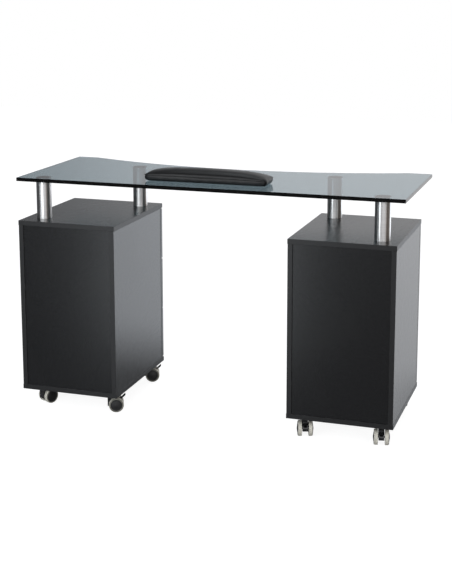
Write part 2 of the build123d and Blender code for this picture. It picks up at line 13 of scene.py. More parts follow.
import bmesh
import bpy
import numpy as np
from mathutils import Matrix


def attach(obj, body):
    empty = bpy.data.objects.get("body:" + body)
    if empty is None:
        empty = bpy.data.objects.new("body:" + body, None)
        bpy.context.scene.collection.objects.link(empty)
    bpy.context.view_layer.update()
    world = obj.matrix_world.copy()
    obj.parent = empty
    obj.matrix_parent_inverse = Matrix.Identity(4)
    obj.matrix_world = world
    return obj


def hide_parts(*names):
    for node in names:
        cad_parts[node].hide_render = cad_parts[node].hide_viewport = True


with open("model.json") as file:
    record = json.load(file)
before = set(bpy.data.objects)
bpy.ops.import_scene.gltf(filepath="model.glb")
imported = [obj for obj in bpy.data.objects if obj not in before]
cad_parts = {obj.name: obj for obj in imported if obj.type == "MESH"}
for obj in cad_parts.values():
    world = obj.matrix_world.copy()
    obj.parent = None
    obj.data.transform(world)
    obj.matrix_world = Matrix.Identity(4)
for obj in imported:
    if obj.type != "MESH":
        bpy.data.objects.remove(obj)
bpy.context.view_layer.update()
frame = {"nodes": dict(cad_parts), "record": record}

LOG = logging.getLogger("manicure_table")
Colour = tuple[float, float, float]
GROUPS: dict[str, bpy.types.NodeTree] = {}


class Hand(Enum):
    """The side of a caster's swivel axis that one of its two wheels stands on."""

    LEFT = 1.0
    RIGHT = -1.0


class Axis(Enum):
    """The way brush lines run, as scales of their noise along X, Y and Z."""

    X = (0.06, 1.0, 1.0)
    Z = (1.0, 1.0, 0.06)
    ROUND_Z = (0.05, 0.05, 1.0)


# ---------------------------------------------------------------- mesh code


@dataclass
class Surfaces:
    """Collects grid surfaces and makes one mesh piece of them."""

    points: list[np.ndarray] = field(default_factory=list)
    faces: list[np.ndarray] = field(default_factory=list)
    shades: list[np.ndarray] = field(default_factory=list)
    count: int = 0
    merge: float = 2e-6
    least_edge: float = 1e-6

    def add(self, grid: np.ndarray, wrap_u: bool = False, wrap_v: bool = False, shade: object = 0) -> None:
        """Adds a surface given as points on a grid.

        Args:
            grid: points of shape (rows, columns, 3).
            wrap_u: whether the last row joins the first.
            wrap_v: whether the last column joins the first.
            shade: material slot number, one for the whole surface or one for each row.
        """
        rows, columns = grid.shape[:2]
        index = np.arange(rows * columns).reshape(rows, columns) + self.count
        if wrap_u:
            index = np.vstack([index, index[:1]])
        if wrap_v:
            index = np.hstack([index, index[:, :1]])
        quads = np.stack([index[:-1, :-1], index[1:, :-1], index[1:, 1:], index[:-1, 1:]], axis=-1)
        self.points.append(grid.reshape(-1, 3))
        self.faces.append(quads.reshape(-1, 4))
        rows_shade = np.broadcast_to(np.atleast_1d(shade), (quads.shape[0],))
        self.shades.append(np.repeat(rows_shade, quads.shape[1]))
        self.count += rows * columns

    def make(self, name: str, sharp_deg: float = 40.0) -> bpy.types.Object:
        """Makes the piece, with its seams and poles merged and its faces outwards.

        Args:
            name: the piece's name.
            sharp_deg: edges that turn by more than this stay sharp.

        Returns:
            The new mesh object, at the origin.
        """
        mesh = bpy.data.meshes.new(name)
        mesh.from_pydata(np.vstack(self.points).tolist(), [], np.vstack(self.faces).tolist())
        mesh.polygons.foreach_set("material_index", np.concatenate(self.shades).astype(np.int32))
        made = bmesh.new()
        made.from_mesh(mesh)
        bmesh.ops.remove_doubles(made, verts=made.verts, dist=self.merge)
        bmesh.ops.dissolve_degenerate(made, edges=made.edges, dist=self.least_edge)
        bmesh.ops.recalc_face_normals(made, faces=made.faces)
        limit = math.radians(sharp_deg)
        for face in made.faces:
            face.smooth = True
        for edge in made.edges:
            edge.smooth = edge.calc_face_angle(0.0) < limit
        made.to_mesh(mesh)
        made.free()
        piece = bpy.data.objects.new(name, mesh)
        bpy.context.scene.collection.objects.link(piece)
        return piece


def corner_arc(centre: tuple[float, float], radius: float, start: float, end: float,
               steps: int) -> np.ndarray:
    """Points on an arc: centre plus radius times (cos, sin) of an angle that runs from start to end.

    Args:
        centre: the arc's centre.
        radius: its radius.
        start: first angle in degrees.
        end: last angle in degrees.
        steps: number of points.

    Returns:
        An array of shape (steps, 2).
    """
    angle = np.radians(np.linspace(start, end, steps))
    return np.array(centre) + radius * np.stack([np.cos(angle), np.sin(angle)], axis=1)


def spin(profile: np.ndarray, centre: np.ndarray, axle: np.ndarray, segments: int) -> np.ndarray:
    """Turns a profile about an axle: centre + across * axle + radius * (cos t * up + sin t * side).

    Args:
        profile: (n, 2) array of across and radius.
        centre: a point on the axle.
        axle: the axle's unit direction, level.
        segments: number of steps round.

    Returns:
        A grid of shape (n, segments, 3) that wraps in its second direction.
    """
    turn = np.linspace(0.0, 2 * np.pi, segments, endpoint=False)
    up = np.array([0.0, 0.0, 1.0])
    side = np.cross(axle, up)
    ring = np.cos(turn)[:, None] * up + np.sin(turn)[:, None] * side
    return centre + profile[:, None, :1] * axle + profile[:, None, 1:] * ring[None]


def tube(path: np.ndarray, radius: float, sides: int, closed: bool) -> np.ndarray:
    """A round tube along a path: path + radius * (cos t * normal + sin t * binormal).

    Args:
        path: (n, 3) points.
        radius: the tube's radius.
        sides: number of points round it.
        closed: whether the path's end joins its start.

    Returns:
        A grid of shape (n, sides, 3).
    """
    if closed:
        tangent = np.roll(path, -1, axis=0) - np.roll(path, 1, axis=0)
    else:
        tangent = np.gradient(path, axis=0)
    tangent /= np.linalg.norm(tangent, axis=1, keepdims=True)
    up = np.where(np.abs(tangent[:, 2:]) > 0.9, [[1.0, 0.0, 0.0]], [[0.0, 0.0, 1.0]])
    normal = np.cross(up, tangent)
    normal /= np.linalg.norm(normal, axis=1, keepdims=True)
    binormal = np.cross(tangent, normal)
    turn = np.linspace(0.0, 2 * np.pi, sides, endpoint=False)
    ring = np.cos(turn)[None, :, None] * normal[:, None] + np.sin(turn)[None, :, None] * binormal[:, None]
    return path[:, None] + radius * ring


def squared_circle(turn: np.ndarray, power: float, up_power: float) -> tuple[np.ndarray, np.ndarray]:
    """A squared circle: sign(cos t) * |cos t| ** power across, and sign(sin t) * |sin t| ** up_power up."""
    across = np.sign(np.cos(turn)) * np.abs(np.cos(turn)) ** power
    return across, np.sign(np.sin(turn)) * np.abs(np.sin(turn)) ** up_power


def bell(distance: np.ndarray, width: float) -> np.ndarray:
    """A bell of height 1: exp(-(distance / width) ** 2)."""
    return np.exp(-((distance / width) ** 2))


def rise_at(value: np.ndarray, middle: float, ease: float) -> np.ndarray:
    """A soft step from 0 to 1 about the middle: 1 / (1 + exp(-(value - middle) / ease))."""
    return 1 / (1 + np.exp(-(value - middle) / ease))


# ---------------------------------------------------------------- shader groups


@dataclass
class Bench:
    """A node tree being wired up."""

    tree: bpy.types.NodeTree

    def add(self, kind: str, **values: object) -> bpy.types.Node:
        """Adds a node and sets its properties, or its inputs where the name starts with in_.

        Args:
            kind: the node's type, without the ShaderNode in front.
            values: property values, and in_NAME or in_NUMBER for inputs.

        Returns:
            The new node.
        """
        node = self.tree.nodes.new("ShaderNode" + kind)
        for name, value in values.items():
            if name.startswith("in_"):
                key = name[3:]
                socket = node.inputs[int(key) if key.isdigit() else key.replace("_", " ")]
                if isinstance(value, bpy.types.NodeSocket):
                    self.tree.links.new(value, socket)
                else:
                    socket.default_value = value
            else:
                setattr(node, name, value)
        return node

    def math(self, operation: str, a: object, b: object = 0.0, clamp: bool = False) -> bpy.types.NodeSocket:
        """One math node: operation on a and b."""
        node = self.add("Math", operation=operation, use_clamp=clamp, in_0=a, in_1=b)
        return node.outputs[0]

    def mix(self, factor: object, a: object, b: object) -> bpy.types.NodeSocket:
        """A colour between a and b."""
        node = self.add("MixRGB", in_0=factor, in_1=a, in_2=b)
        return node.outputs[0]

    def map_range(self, value: object, low: float, high: float,
                  to_low: float = 0.0, to_high: float = 1.0) -> bpy.types.NodeSocket:
        """The value carried from low..high to to_low..to_high, clamped."""
        node = self.add("MapRange", in_0=value, in_1=low, in_2=high, in_3=to_low, in_4=to_high)
        return node.outputs[0]

    def place(self) -> bpy.types.NodeSocket:
        """The point's place in the table's own frame."""
        return self.add("TexCoord").outputs["Object"]

    def facing(self) -> bpy.types.Node:
        """The way the surface faces, split into X, Y and Z."""
        return self.add("SeparateXYZ", in_0=self.add("TexCoord").outputs["Normal"])

    def noise(self, place: bpy.types.NodeSocket, scale: object, detail: float,
              **values: float) -> bpy.types.NodeSocket:
        """Noise at a place."""
        return self.add("TexNoise", in_Vector=place, in_Scale=scale, in_Detail=detail, **values).outputs[0]

    def link(self, value: bpy.types.NodeSocket, socket: bpy.types.NodeSocket) -> None:
        """Feeds a value into a socket."""
        self.tree.links.new(value, socket)

    def output(self) -> bpy.types.Node:
        """The material's output node."""
        return next(node for node in self.tree.nodes if node.type == "OUTPUT_MATERIAL")


def group(name: str, inputs: dict[str, float],
          outputs: tuple[str, ...]) -> tuple[Bench, bpy.types.Node, bpy.types.Node]:
    """Starts a shader node group with named number sockets.

    Args:
        name: the group's name.
        inputs: each input's name and its usual value.
        outputs: the outputs' names.

    Returns:
        The bench, the group's input node and its output node.
    """
    tree = bpy.data.node_groups.new(name, "ShaderNodeTree")
    for label, value in inputs.items():
        socket = tree.interface.new_socket(name=label, in_out="INPUT", socket_type="NodeSocketFloat")
        socket.default_value = value
    for label in outputs:
        tree.interface.new_socket(name=label, in_out="OUTPUT", socket_type="NodeSocketFloat")
    GROUPS[name] = tree
    return Bench(tree), tree.nodes.new("NodeGroupInput"), tree.nodes.new("NodeGroupOutput")


def fine_grain_group() -> None:
    """Fine grain: cells and noise of one scale, as a moulded or embossed film has."""
    cell_share, noise_share = 0.7, 0.3
    bench, given, out = group("fine_grain", {"Scale": 1200.0}, ("Height", "Fleck"))
    place, scale = bench.place(), given.outputs["Scale"]
    cells = bench.add("TexVoronoi", feature="SMOOTH_F1", in_Vector=place, in_Scale=scale, in_Smoothness=0.6)
    noise = bench.noise(place, scale, 3.0)
    height = bench.math("ADD", bench.math("MULTIPLY", cells.outputs["Distance"], cell_share),
                        bench.math("MULTIPLY", noise, noise_share))
    bench.link(height, out.inputs["Height"])
    bench.link(bench.map_range(noise, 0.58, 0.72), out.inputs["Fleck"])


def handling_marks_group() -> None:
    """Handling marks: broad, stretched patches, as wiping leaves."""
    bench, given, out = group("handling_marks", {"Scale": 5.0}, ("Mask",))
    stretched = bench.add("Mapping", in_Vector=bench.place(), in_Scale=(1.0, 0.55, 0.8),
                          in_Rotation=(0.3, 0.2, 0.6))
    marks = bench.noise(stretched.outputs[0], given.outputs["Scale"], 5.0,
                        in_Roughness=0.6, in_Distortion=1.2)
    bench.link(bench.map_range(marks, 0.42, 0.66), out.inputs["Mask"])


def brush_lines_group() -> None:
    """Brush lines: noise drawn out along one direction, at a fine scale for lines and a broad for bands."""
    line_scale, band_scale = 2400.0, 260.0
    bench, given, out = group("brush_lines", {"Scale X": 1.0, "Scale Y": 1.0, "Scale Z": 1.0},
                              ("Line", "Band"))
    scale = bench.add("CombineXYZ", in_0=given.outputs[0], in_1=given.outputs[1], in_2=given.outputs[2])
    scaled = bench.add("VectorMath", operation="MULTIPLY", in_0=bench.place(), in_1=scale.outputs[0])
    line = bench.noise(scaled.outputs[0], line_scale, 4.0, in_Roughness=0.7)
    bench.link(line, out.inputs["Line"])
    bench.link(bench.noise(scaled.outputs[0], band_scale, 2.0), out.inputs["Band"])


def worn_and_highlit_rim_group() -> None:
    """Rim wear and painted highlight: where a face leans between the three axes it is an eased edge,
    lightened in broken stretches, partly as wear and partly as a painted highlight.
    """
    bench, given, out = group("worn_and_highlit_rim", {"Width": 0.9}, ("Mask",))
    facing = bench.facing()
    largest = bench.math("ABSOLUTE", facing.outputs[0])
    for axis in (1, 2):
        largest = bench.math("MAXIMUM", largest, bench.math("ABSOLUTE", facing.outputs[axis]))
    rim = bench.math("LESS_THAN", largest, given.outputs["Width"])
    broken = bench.map_range(bench.noise(bench.place(), 60.0, 4.0), 0.4, 0.62, to_low=0.15)
    bench.link(bench.math("MULTIPLY", rim, broken), out.inputs["Mask"])


def dust_group() -> None:
    """Dust: settles on what faces up, in fine uneven specks."""
    speck_scale, drift_scale = 900.0, 9.0
    bench, given, out = group("dust", {"Amount": 0.2}, ("Mask",))
    place = bench.place()
    specks = bench.map_range(bench.noise(place, speck_scale, 2.0), 0.5, 0.8)
    drifts = bench.map_range(bench.noise(place, drift_scale, 4.0), 0.35, 0.7, to_low=0.2)
    upward = bench.map_range(bench.facing().outputs[2], 0.3, 1.0)
    settled = bench.math("MULTIPLY", bench.math("MULTIPLY", specks, drifts), upward)
    bench.link(bench.math("MULTIPLY", settled, given.outputs["Amount"]), out.inputs["Mask"])


def build_groups() -> None:
    """Builds the effects that several finishes share."""
    for build in (fine_grain_group, handling_marks_group, brush_lines_group, worn_and_highlit_rim_group, dust_group):
        build()


def place_group(bench: Bench, name: str, **inputs: float) -> bpy.types.Node:
    """Places a shared group in a material.

    Args:
        bench: the material's bench.
        name: the group's name.
        inputs: the group's input values, with _ for a space.

    Returns:
        The group's node.
    """
    node = bench.add("Group", node_tree=GROUPS[name])
    for label, value in inputs.items():
        node.inputs[label.replace("_", " ")].default_value = value
    return node


# ---------------------------------------------------------------- finishes


def rgba(colour: Colour) -> tuple[float, float, float, float]:
    """The colour with a full alpha."""
    return (*colour, 1.0)


@dataclass(frozen=True)
class Finish:
    """What every finish has: a name, a main colour and a gloss."""

    name: str
    colour: Colour
    roughness: float
    metallic: float = 0.0
    ior: float = 1.5

    def build(self) -> bpy.types.Material:
        """Makes the material.

        Returns:
            The new material, with its pattern wired in.
        """
        material = bpy.data.materials.new(self.name)
        material.use_nodes = True
        bench = Bench(material.node_tree)
        shader = material.node_tree.nodes["Principled BSDF"]
        shader.inputs["Base Color"].default_value = rgba(self.colour)
        shader.inputs["Roughness"].default_value = self.roughness
        shader.inputs["Metallic"].default_value = self.metallic
        shader.inputs["IOR"].default_value = self.ior
        self.pattern(bench, shader)
        return material

    def pattern(self, bench: Bench, shader: bpy.types.Node) -> None:
        """Wires the finish's own detail into the shader; a plain finish has none."""

    def feed(self, bench: Bench, shader: bpy.types.Node, name: str, value: bpy.types.NodeSocket) -> None:
        """Links one value to the shader's socket of that name."""
        bench.link(value, shader.inputs[name])

    def bump(self, bench: Bench, shader: bpy.types.Node, height: bpy.types.NodeSocket, depth: float,
             strength: float) -> None:
        """Raises the surface by a height field.

        Args:
            bench: the material's bench.
            shader: the shader to feed.
            height: the height, from 0 to 1.
            depth: the height's full size in metres.
            strength: how strongly it shows.
        """
        node = bench.add("Bump", in_Strength=strength, in_Distance=depth, in_Height=height)
        self.feed(bench, shader, "Normal", node.outputs[0])

    def shaded(self, share: float) -> tuple[float, float, float, float]:
        """The finish's colour at a share of its brightness."""
        return rgba(tuple(part * share for part in self.colour))


@dataclass(frozen=True)
class Melamine(Finish):
    """A pressed film on board: fine pearl grain, wiped patches, eased edges lightened partly as wear and
    partly as a painted highlight, and duller edge bands.
    """

    flat_axis: int = 2
    banded: float = 0.17
    grain: float = 1500.0
    grain_depth: float = 0.00006
    grain_strength: float = 0.2
    grain_dulls: float = 0.04
    marks_scale: float = 4.0
    marks_dull: float = 0.012
    rim_width: float = 0.9
    # colour of the eased edges: partly wear, partly a painted highlight
    wear: Colour = (0.05, 0.05, 0.052)
    wear_and_highlight_share: float = 0.7
    fleck: Colour = (0.02, 0.02, 0.022)
    fleck_share: float = 0.5
    dust: float = 0.03
    dust_colour: Colour = (0.35, 0.34, 0.33)

    def pattern(self, bench: Bench, shader: bpy.types.Node) -> None:
        """Grain in the bump, flecks and lighter rims in the colour, wiping marks and edge bands in the gloss;
        the lighter rims are partly wear and partly a painted highlight.

        Args:
            bench: the material's bench.
            shader: the shader to feed.
        """
        grain = place_group(bench, "fine_grain", Scale=self.grain)
        marks = place_group(bench, "handling_marks", Scale=self.marks_scale)
        rim = place_group(bench, "worn_and_highlit_rim", Width=self.rim_width)
        dust = place_group(bench, "dust", Amount=self.dust)
        across = bench.math("ABSOLUTE", bench.facing().outputs[self.flat_axis])
        band = bench.math("LESS_THAN", across, 0.5)
        flecks = bench.math("MULTIPLY", grain.outputs["Fleck"], self.fleck_share)
        colour = bench.mix(flecks, rgba(self.colour), rgba(self.fleck))
        # eased edges lightened: partly wear, partly a painted highlight
        colour = bench.mix(bench.math("MULTIPLY", rim.outputs[0], self.wear_and_highlight_share), colour, rgba(self.wear))
        colour = bench.mix(dust.outputs[0], colour, rgba(self.dust_colour))
        self.feed(bench, shader, "Base Color", colour)
        rough = bench.math("ADD", self.roughness, bench.math("MULTIPLY", marks.outputs[0], self.marks_dull))
        rough = bench.math("ADD", rough, bench.math("MULTIPLY", grain.outputs["Height"], self.grain_dulls))
        rough = bench.math("ADD", rough, bench.math("MULTIPLY", band, self.banded))
        self.feed(bench, shader, "Roughness", rough)
        self.bump(bench, shader, grain.outputs["Height"], self.grain_depth, self.grain_strength)


@dataclass(frozen=True)
class BrushedMetal(Finish):
    """Metal with fine brush lines along one direction, which stretch its reflections across them."""

    direction: Axis = Axis.X
    line_depth: float = 0.00002
    line_strength: float = 0.25
    line_gain: float = 0.18
    dark_share: float = 0.78
    marks_scale: float = 9.0
    marks_dull: float = 0.04
    stretch: float = 0.0
    stretch_turn: float = 0.25

    def pattern(self, bench: Bench, shader: bpy.types.Node) -> None:
        """Brush lines in the colour, gloss and bump, and handling marks in the gloss.

        Args:
            bench: the material's bench.
            shader: the shader to feed.
        """
        along = self.direction.value
        lines = place_group(bench, "brush_lines", Scale_X=along[0], Scale_Y=along[1], Scale_Z=along[2])
        marks = place_group(bench, "handling_marks", Scale=self.marks_scale)
        colour = bench.mix(lines.outputs["Band"], self.shaded(self.dark_share), rgba(self.colour))
        self.feed(bench, shader, "Base Color", colour)
        rough = bench.math("ADD", self.roughness - 0.5 * self.line_gain,
                           bench.math("MULTIPLY", lines.outputs["Line"], self.line_gain))
        dulled = bench.math("MULTIPLY", marks.outputs[0], self.marks_dull)
        self.feed(bench, shader, "Roughness", bench.math("ADD", rough, dulled, clamp=True))
        self.bump(bench, shader, lines.outputs["Line"], self.line_depth, self.line_strength)
        if self.stretch > 0:
            shader.inputs["Anisotropic"].default_value = self.stretch
            shader.inputs["Anisotropic Rotation"].default_value = self.stretch_turn
            tangent = bench.add("Tangent", direction_type="RADIAL", axis="Z")
            self.feed(bench, shader, "Tangent", tangent.outputs[0])


@dataclass(frozen=True)
class ZincPlate(Finish):
    """Plated steel with soft crystalline clouds."""

    cloud: float = 160.0
    cloud_dulls: float = 0.15
    dark_share: float = 0.7
    grain: float = 3000.0
    grain_depth: float = 0.00002
    grain_strength: float = 0.2

    def pattern(self, bench: Bench, shader: bpy.types.Node) -> None:
        """Clouds in the colour and gloss, and fine grain in the bump.

        Args:
            bench: the material's bench.
            shader: the shader to feed.
        """
        cloud = bench.add("TexVoronoi", in_Vector=bench.place(), in_Scale=self.cloud).outputs["Distance"]
        grain = place_group(bench, "fine_grain", Scale=self.grain)
        colour = bench.mix(cloud, rgba(self.colour), self.shaded(self.dark_share))
        self.feed(bench, shader, "Base Color", colour)
        rough = bench.math("ADD", self.roughness, bench.math("MULTIPLY", cloud, self.cloud_dulls))
        self.feed(bench, shader, "Roughness", rough)
        self.bump(bench, shader, grain.outputs["Height"], self.grain_depth, self.grain_strength)


@dataclass(frozen=True)
class MouldedPlastic(Finish):
    """Injection-moulded plastic: a faint sparked texture, scuffs and settled dust."""

    grain: float = 2200.0
    grain_depth: float = 0.00004
    grain_strength: float = 0.3
    scuff: Colour = (0.06, 0.06, 0.06)
    scuff_scale: float = 38.0
    scuff_share: float = 0.35
    scuff_dulls: float = 0.12
    dust: float = 0.15
    dust_colour: Colour = (0.4, 0.39, 0.37)

    def pattern(self, bench: Bench, shader: bpy.types.Node) -> None:
        """Texture in the bump, scuffs and dust in the colour, and scuffs in the gloss.

        Args:
            bench: the material's bench.
            shader: the shader to feed.
        """
        grain = place_group(bench, "fine_grain", Scale=self.grain)
        marks = place_group(bench, "handling_marks", Scale=self.scuff_scale)
        dust = place_group(bench, "dust", Amount=self.dust)
        scuffs = bench.math("MULTIPLY", marks.outputs[0], self.scuff_share)
        colour = bench.mix(scuffs, rgba(self.colour), rgba(self.scuff))
        self.feed(bench, shader, "Base Color", bench.mix(dust.outputs[0], colour, rgba(self.dust_colour)))
        rough = bench.math("ADD", self.roughness, bench.math("MULTIPLY", marks.outputs[0], self.scuff_dulls))
        self.feed(bench, shader, "Roughness", rough)
        self.bump(bench, shader, grain.outputs["Height"], self.grain_depth, self.grain_strength)


@dataclass(frozen=True)
class Leatherette(Finish):
    """Coated cloth with a pebbled grain, creases between the pebbles, soft folds and a soft gloss."""

    ior: float = 1.4
    pebble: float = 620.0
    pebble_share: float = 0.12
    crease: Colour = (0.004, 0.004, 0.004)
    crease_reach: float = 0.35
    bend_scale: float = 220.0
    bend_reach: float = 0.0016
    fold_scale: float = 26.0
    marks_scale: float = 14.0
    marks_polish: float = -0.08
    pebble_polish: float = 0.06
    relief: float = 0.0009
    relief_strength: float = 0.25

    def pattern(self, bench: Bench, shader: bpy.types.Node) -> None:
        """Pebbles, creases and folds in the bump, pebbles in the colour, wear in the gloss.

        Args:
            bench: the material's bench.
            shader: the shader to feed.
        """
        place = bench.place()
        bend = bench.add("TexNoise", in_Vector=place, in_Scale=self.bend_scale, in_Detail=3.0)
        bent = bench.add("VectorMath", operation="MULTIPLY_ADD", in_0=bend.outputs["Color"],
                         in_1=(self.bend_reach,) * 3, in_2=place)
        pebbles = bench.add("TexVoronoi", feature="DISTANCE_TO_EDGE", in_Vector=bent.outputs[0],
                            in_Scale=self.pebble)
        height = bench.map_range(pebbles.outputs["Distance"], 0.0, self.crease_reach)
        folds = bench.noise(place, self.fold_scale, 4.0, in_Roughness=0.55)
        marks = place_group(bench, "handling_marks", Scale=self.marks_scale)
        self.feed(bench, shader, "Base Color", bench.mix(height, rgba(self.crease), rgba(self.colour)))
        rough = bench.math("ADD", self.roughness, bench.math("MULTIPLY", marks.outputs[0], self.marks_polish))
        rough = bench.math("SUBTRACT", rough, bench.math("MULTIPLY", height, self.pebble_polish))
        self.feed(bench, shader, "Roughness", rough)
        total = bench.math("ADD", bench.math("MULTIPLY", height, self.pebble_share), folds)
        self.bump(bench, shader, total, self.relief, self.relief_strength)


@dataclass(frozen=True)
class SmokedGlass(Finish):
    """Polished glass that darkens with the length of the way through it, with faint wiping marks."""

    absorb: Colour = (0.18, 0.34, 0.40)
    density: float = 115.0
    marks_scale: float = 7.0
    marks_dull: float = 0.02

    def pattern(self, bench: Bench, shader: bpy.types.Node) -> None:
        """Wiping marks in the gloss; the grey tint is the absorption inside.

        Args:
            bench: the material's bench.
            shader: the shader to feed.
        """
        marks = place_group(bench, "handling_marks", Scale=self.marks_scale)
        self.feed(bench, shader, "Roughness", bench.math("MULTIPLY", marks.outputs[0], self.marks_dull))
        shader.inputs["Transmission Weight"].default_value = 1.0
        inside = bench.add("VolumeAbsorption", in_Color=rgba(self.absorb), in_Density=self.density)
        bench.link(inside.outputs[0], bench.output().inputs["Volume"])


@dataclass(frozen=True)
class Thread(Finish):
    """Twisted sewing thread."""

    twist: float = 1400.0
    dark_share: float = 0.5
    strand_depth: float = 0.0001
    strand_strength: float = 0.5

    def pattern(self, bench: Bench, shader: bpy.types.Node) -> None:
        """Slanting strands in the bump and colour.

        Args:
            bench: the material's bench.
            shader: the shader to feed.
        """
        strands = bench.add("TexWave", in_Vector=bench.place(), in_Scale=self.twist,
                            bands_direction="DIAGONAL").outputs["Fac"]
        colour = bench.mix(strands, self.shaded(self.dark_share), rgba(self.colour))
        self.feed(bench, shader, "Base Color", colour)
        self.bump(bench, shader, strands, self.strand_depth, self.strand_strength)


FINISHES: dict[str, Finish] = {
    "smoked_glass": SmokedGlass("smoked_glass", (1.0, 1.0, 1.0), 0.0, ior=1.46),
    "brushed_stainless": BrushedMetal("brushed_stainless", (0.78, 0.775, 0.77), 0.3, 1.0,
                                      direction=Axis.ROUND_Z, stretch=0.9),
    "turned_aluminium": BrushedMetal("turned_aluminium", (0.8, 0.8, 0.8), 0.3, 1.0, direction=Axis.ROUND_Z),
    "plated_steel": ZincPlate("plated_steel", (0.72, 0.73, 0.75), 0.25, 1.0),
    "slide_steel": ZincPlate("slide_steel", (0.62, 0.64, 0.66), 0.35, 1.0),
    "caster_plate_steel": ZincPlate("caster_plate_steel", (0.08, 0.08, 0.085), 0.4, 1.0),
    "satin_handle": BrushedMetal("satin_handle", (0.66, 0.65, 0.63), 0.28, 1.0,
                                 direction=Axis.X, line_gain=0.12),
    "satin_handle_upright": BrushedMetal("satin_handle_upright", (0.66, 0.65, 0.63), 0.28, 1.0,
                                         direction=Axis.Z, line_gain=0.12),
    "black_melamine": Melamine("black_melamine", (0.006, 0.0062, 0.007), 0.25),
    "black_melamine_side": Melamine("black_melamine_side", (0.006, 0.0062, 0.007), 0.25, flat_axis=0),
    "black_melamine_back": Melamine("black_melamine_back", (0.006, 0.0062, 0.007), 0.25, flat_axis=1),
    "black_melamine_front": Melamine("black_melamine_front", (0.006, 0.0062, 0.007), 0.25,
                                     flat_axis=1, banded=0.0),
    "drawer_board": Melamine("drawer_board", (0.07, 0.07, 0.072), 0.4, wear=(0.12, 0.12, 0.12),
                             fleck=(0.1, 0.1, 0.1)),
    "pad_board": Melamine("pad_board", (0.012, 0.012, 0.012), 0.55),
    "black_leatherette": Leatherette("black_leatherette", (0.003, 0.003, 0.0034), 0.42),
    "seam_thread": Thread("seam_thread", (0.016, 0.016, 0.017), 0.6),
    "white_nylon": MouldedPlastic("white_nylon", (0.7, 0.7, 0.66), 0.4, scuff=(0.5, 0.5, 0.47)),
    "black_nylon": MouldedPlastic("black_nylon", (0.012, 0.0125, 0.014), 0.22),
    "wheel_cap": MouldedPlastic("wheel_cap", (0.006, 0.006, 0.007), 0.45,
                                scuff=(0.02, 0.02, 0.02), dust=0.05),
    # painted shade: a copy of the tread's plastic at under a third of its brightness, for the outer sides of
    # the treads
    "wheel_shoulder": MouldedPlastic("wheel_shoulder", (0.2, 0.195, 0.165), 0.45, grain=1500.0,
                                     scuff=(0.12, 0.115, 0.1), dust=0.03),
    "wheel_plastic": MouldedPlastic("wheel_plastic", (0.7, 0.68, 0.6), 0.42, grain=1500.0,
                                    scuff=(0.42, 0.405, 0.37), dust=0.03),
}
MATERIALS: dict[str, bpy.types.Material] = {}


def dress(piece: bpy.types.Object, finish: str) -> None:
    """Gives every material slot of a piece one finish.

    Args:
        piece: the mesh object.
        finish: the finish's name.
    """
    if not piece.material_slots:
        piece.data.materials.append(MATERIALS[finish])
    for slot in piece.material_slots:
        slot.material = MATERIALS[finish]


# ---------------------------------------------------------------- pieces


@dataclass
class Carcass:
    """What keeps the frame's own shape: glass, posts, boards, drawers, door and fittings."""

    fork_bevel: float = 0.0012
    fork_bevel_steps: int = 3
    fork_sharp_deg: float = 50.0
    weld: float = 0.00001

    def build(self) -> None:
        """Dresses the frame's nodes in the finish of their slots, and softens the moulded casters' edges."""
        for row in frame["record"]["subparts"]:
            node, finish = row["node"], row["material_slot"]
            piece = frame["nodes"][node]
            if node == "door_handle":
                finish = "satin_handle_upright"
            if finish == "black_melamine" and node.endswith("_side"):
                finish = "black_melamine_side"
            elif finish == "black_melamine" and node.endswith("_back"):
                finish = "black_melamine_back"
            elif finish == "black_melamine" and node.endswith(("_front", "door")):
                finish = "black_melamine_front"
            dress(piece, finish)
            if node.endswith("_fork"):
                self.soften(piece)
            LOG.info("dressed %s in %s", node, finish)

    def soften(self, piece: bpy.types.Object) -> None:
        """Rounds the sharp edges of a moulded piece.

        Args:
            piece: the piece, whose mesh is loose triangles until the weld.
        """
        weld = piece.modifiers.new("weld", "WELD")
        weld.merge_threshold = self.weld
        bevel = piece.modifiers.new("bevel", "BEVEL")
        bevel.width = self.fork_bevel
        bevel.segments = self.fork_bevel_steps
        bevel.limit_method = "ANGLE"
        bevel.angle_limit = math.radians(self.fork_sharp_deg)


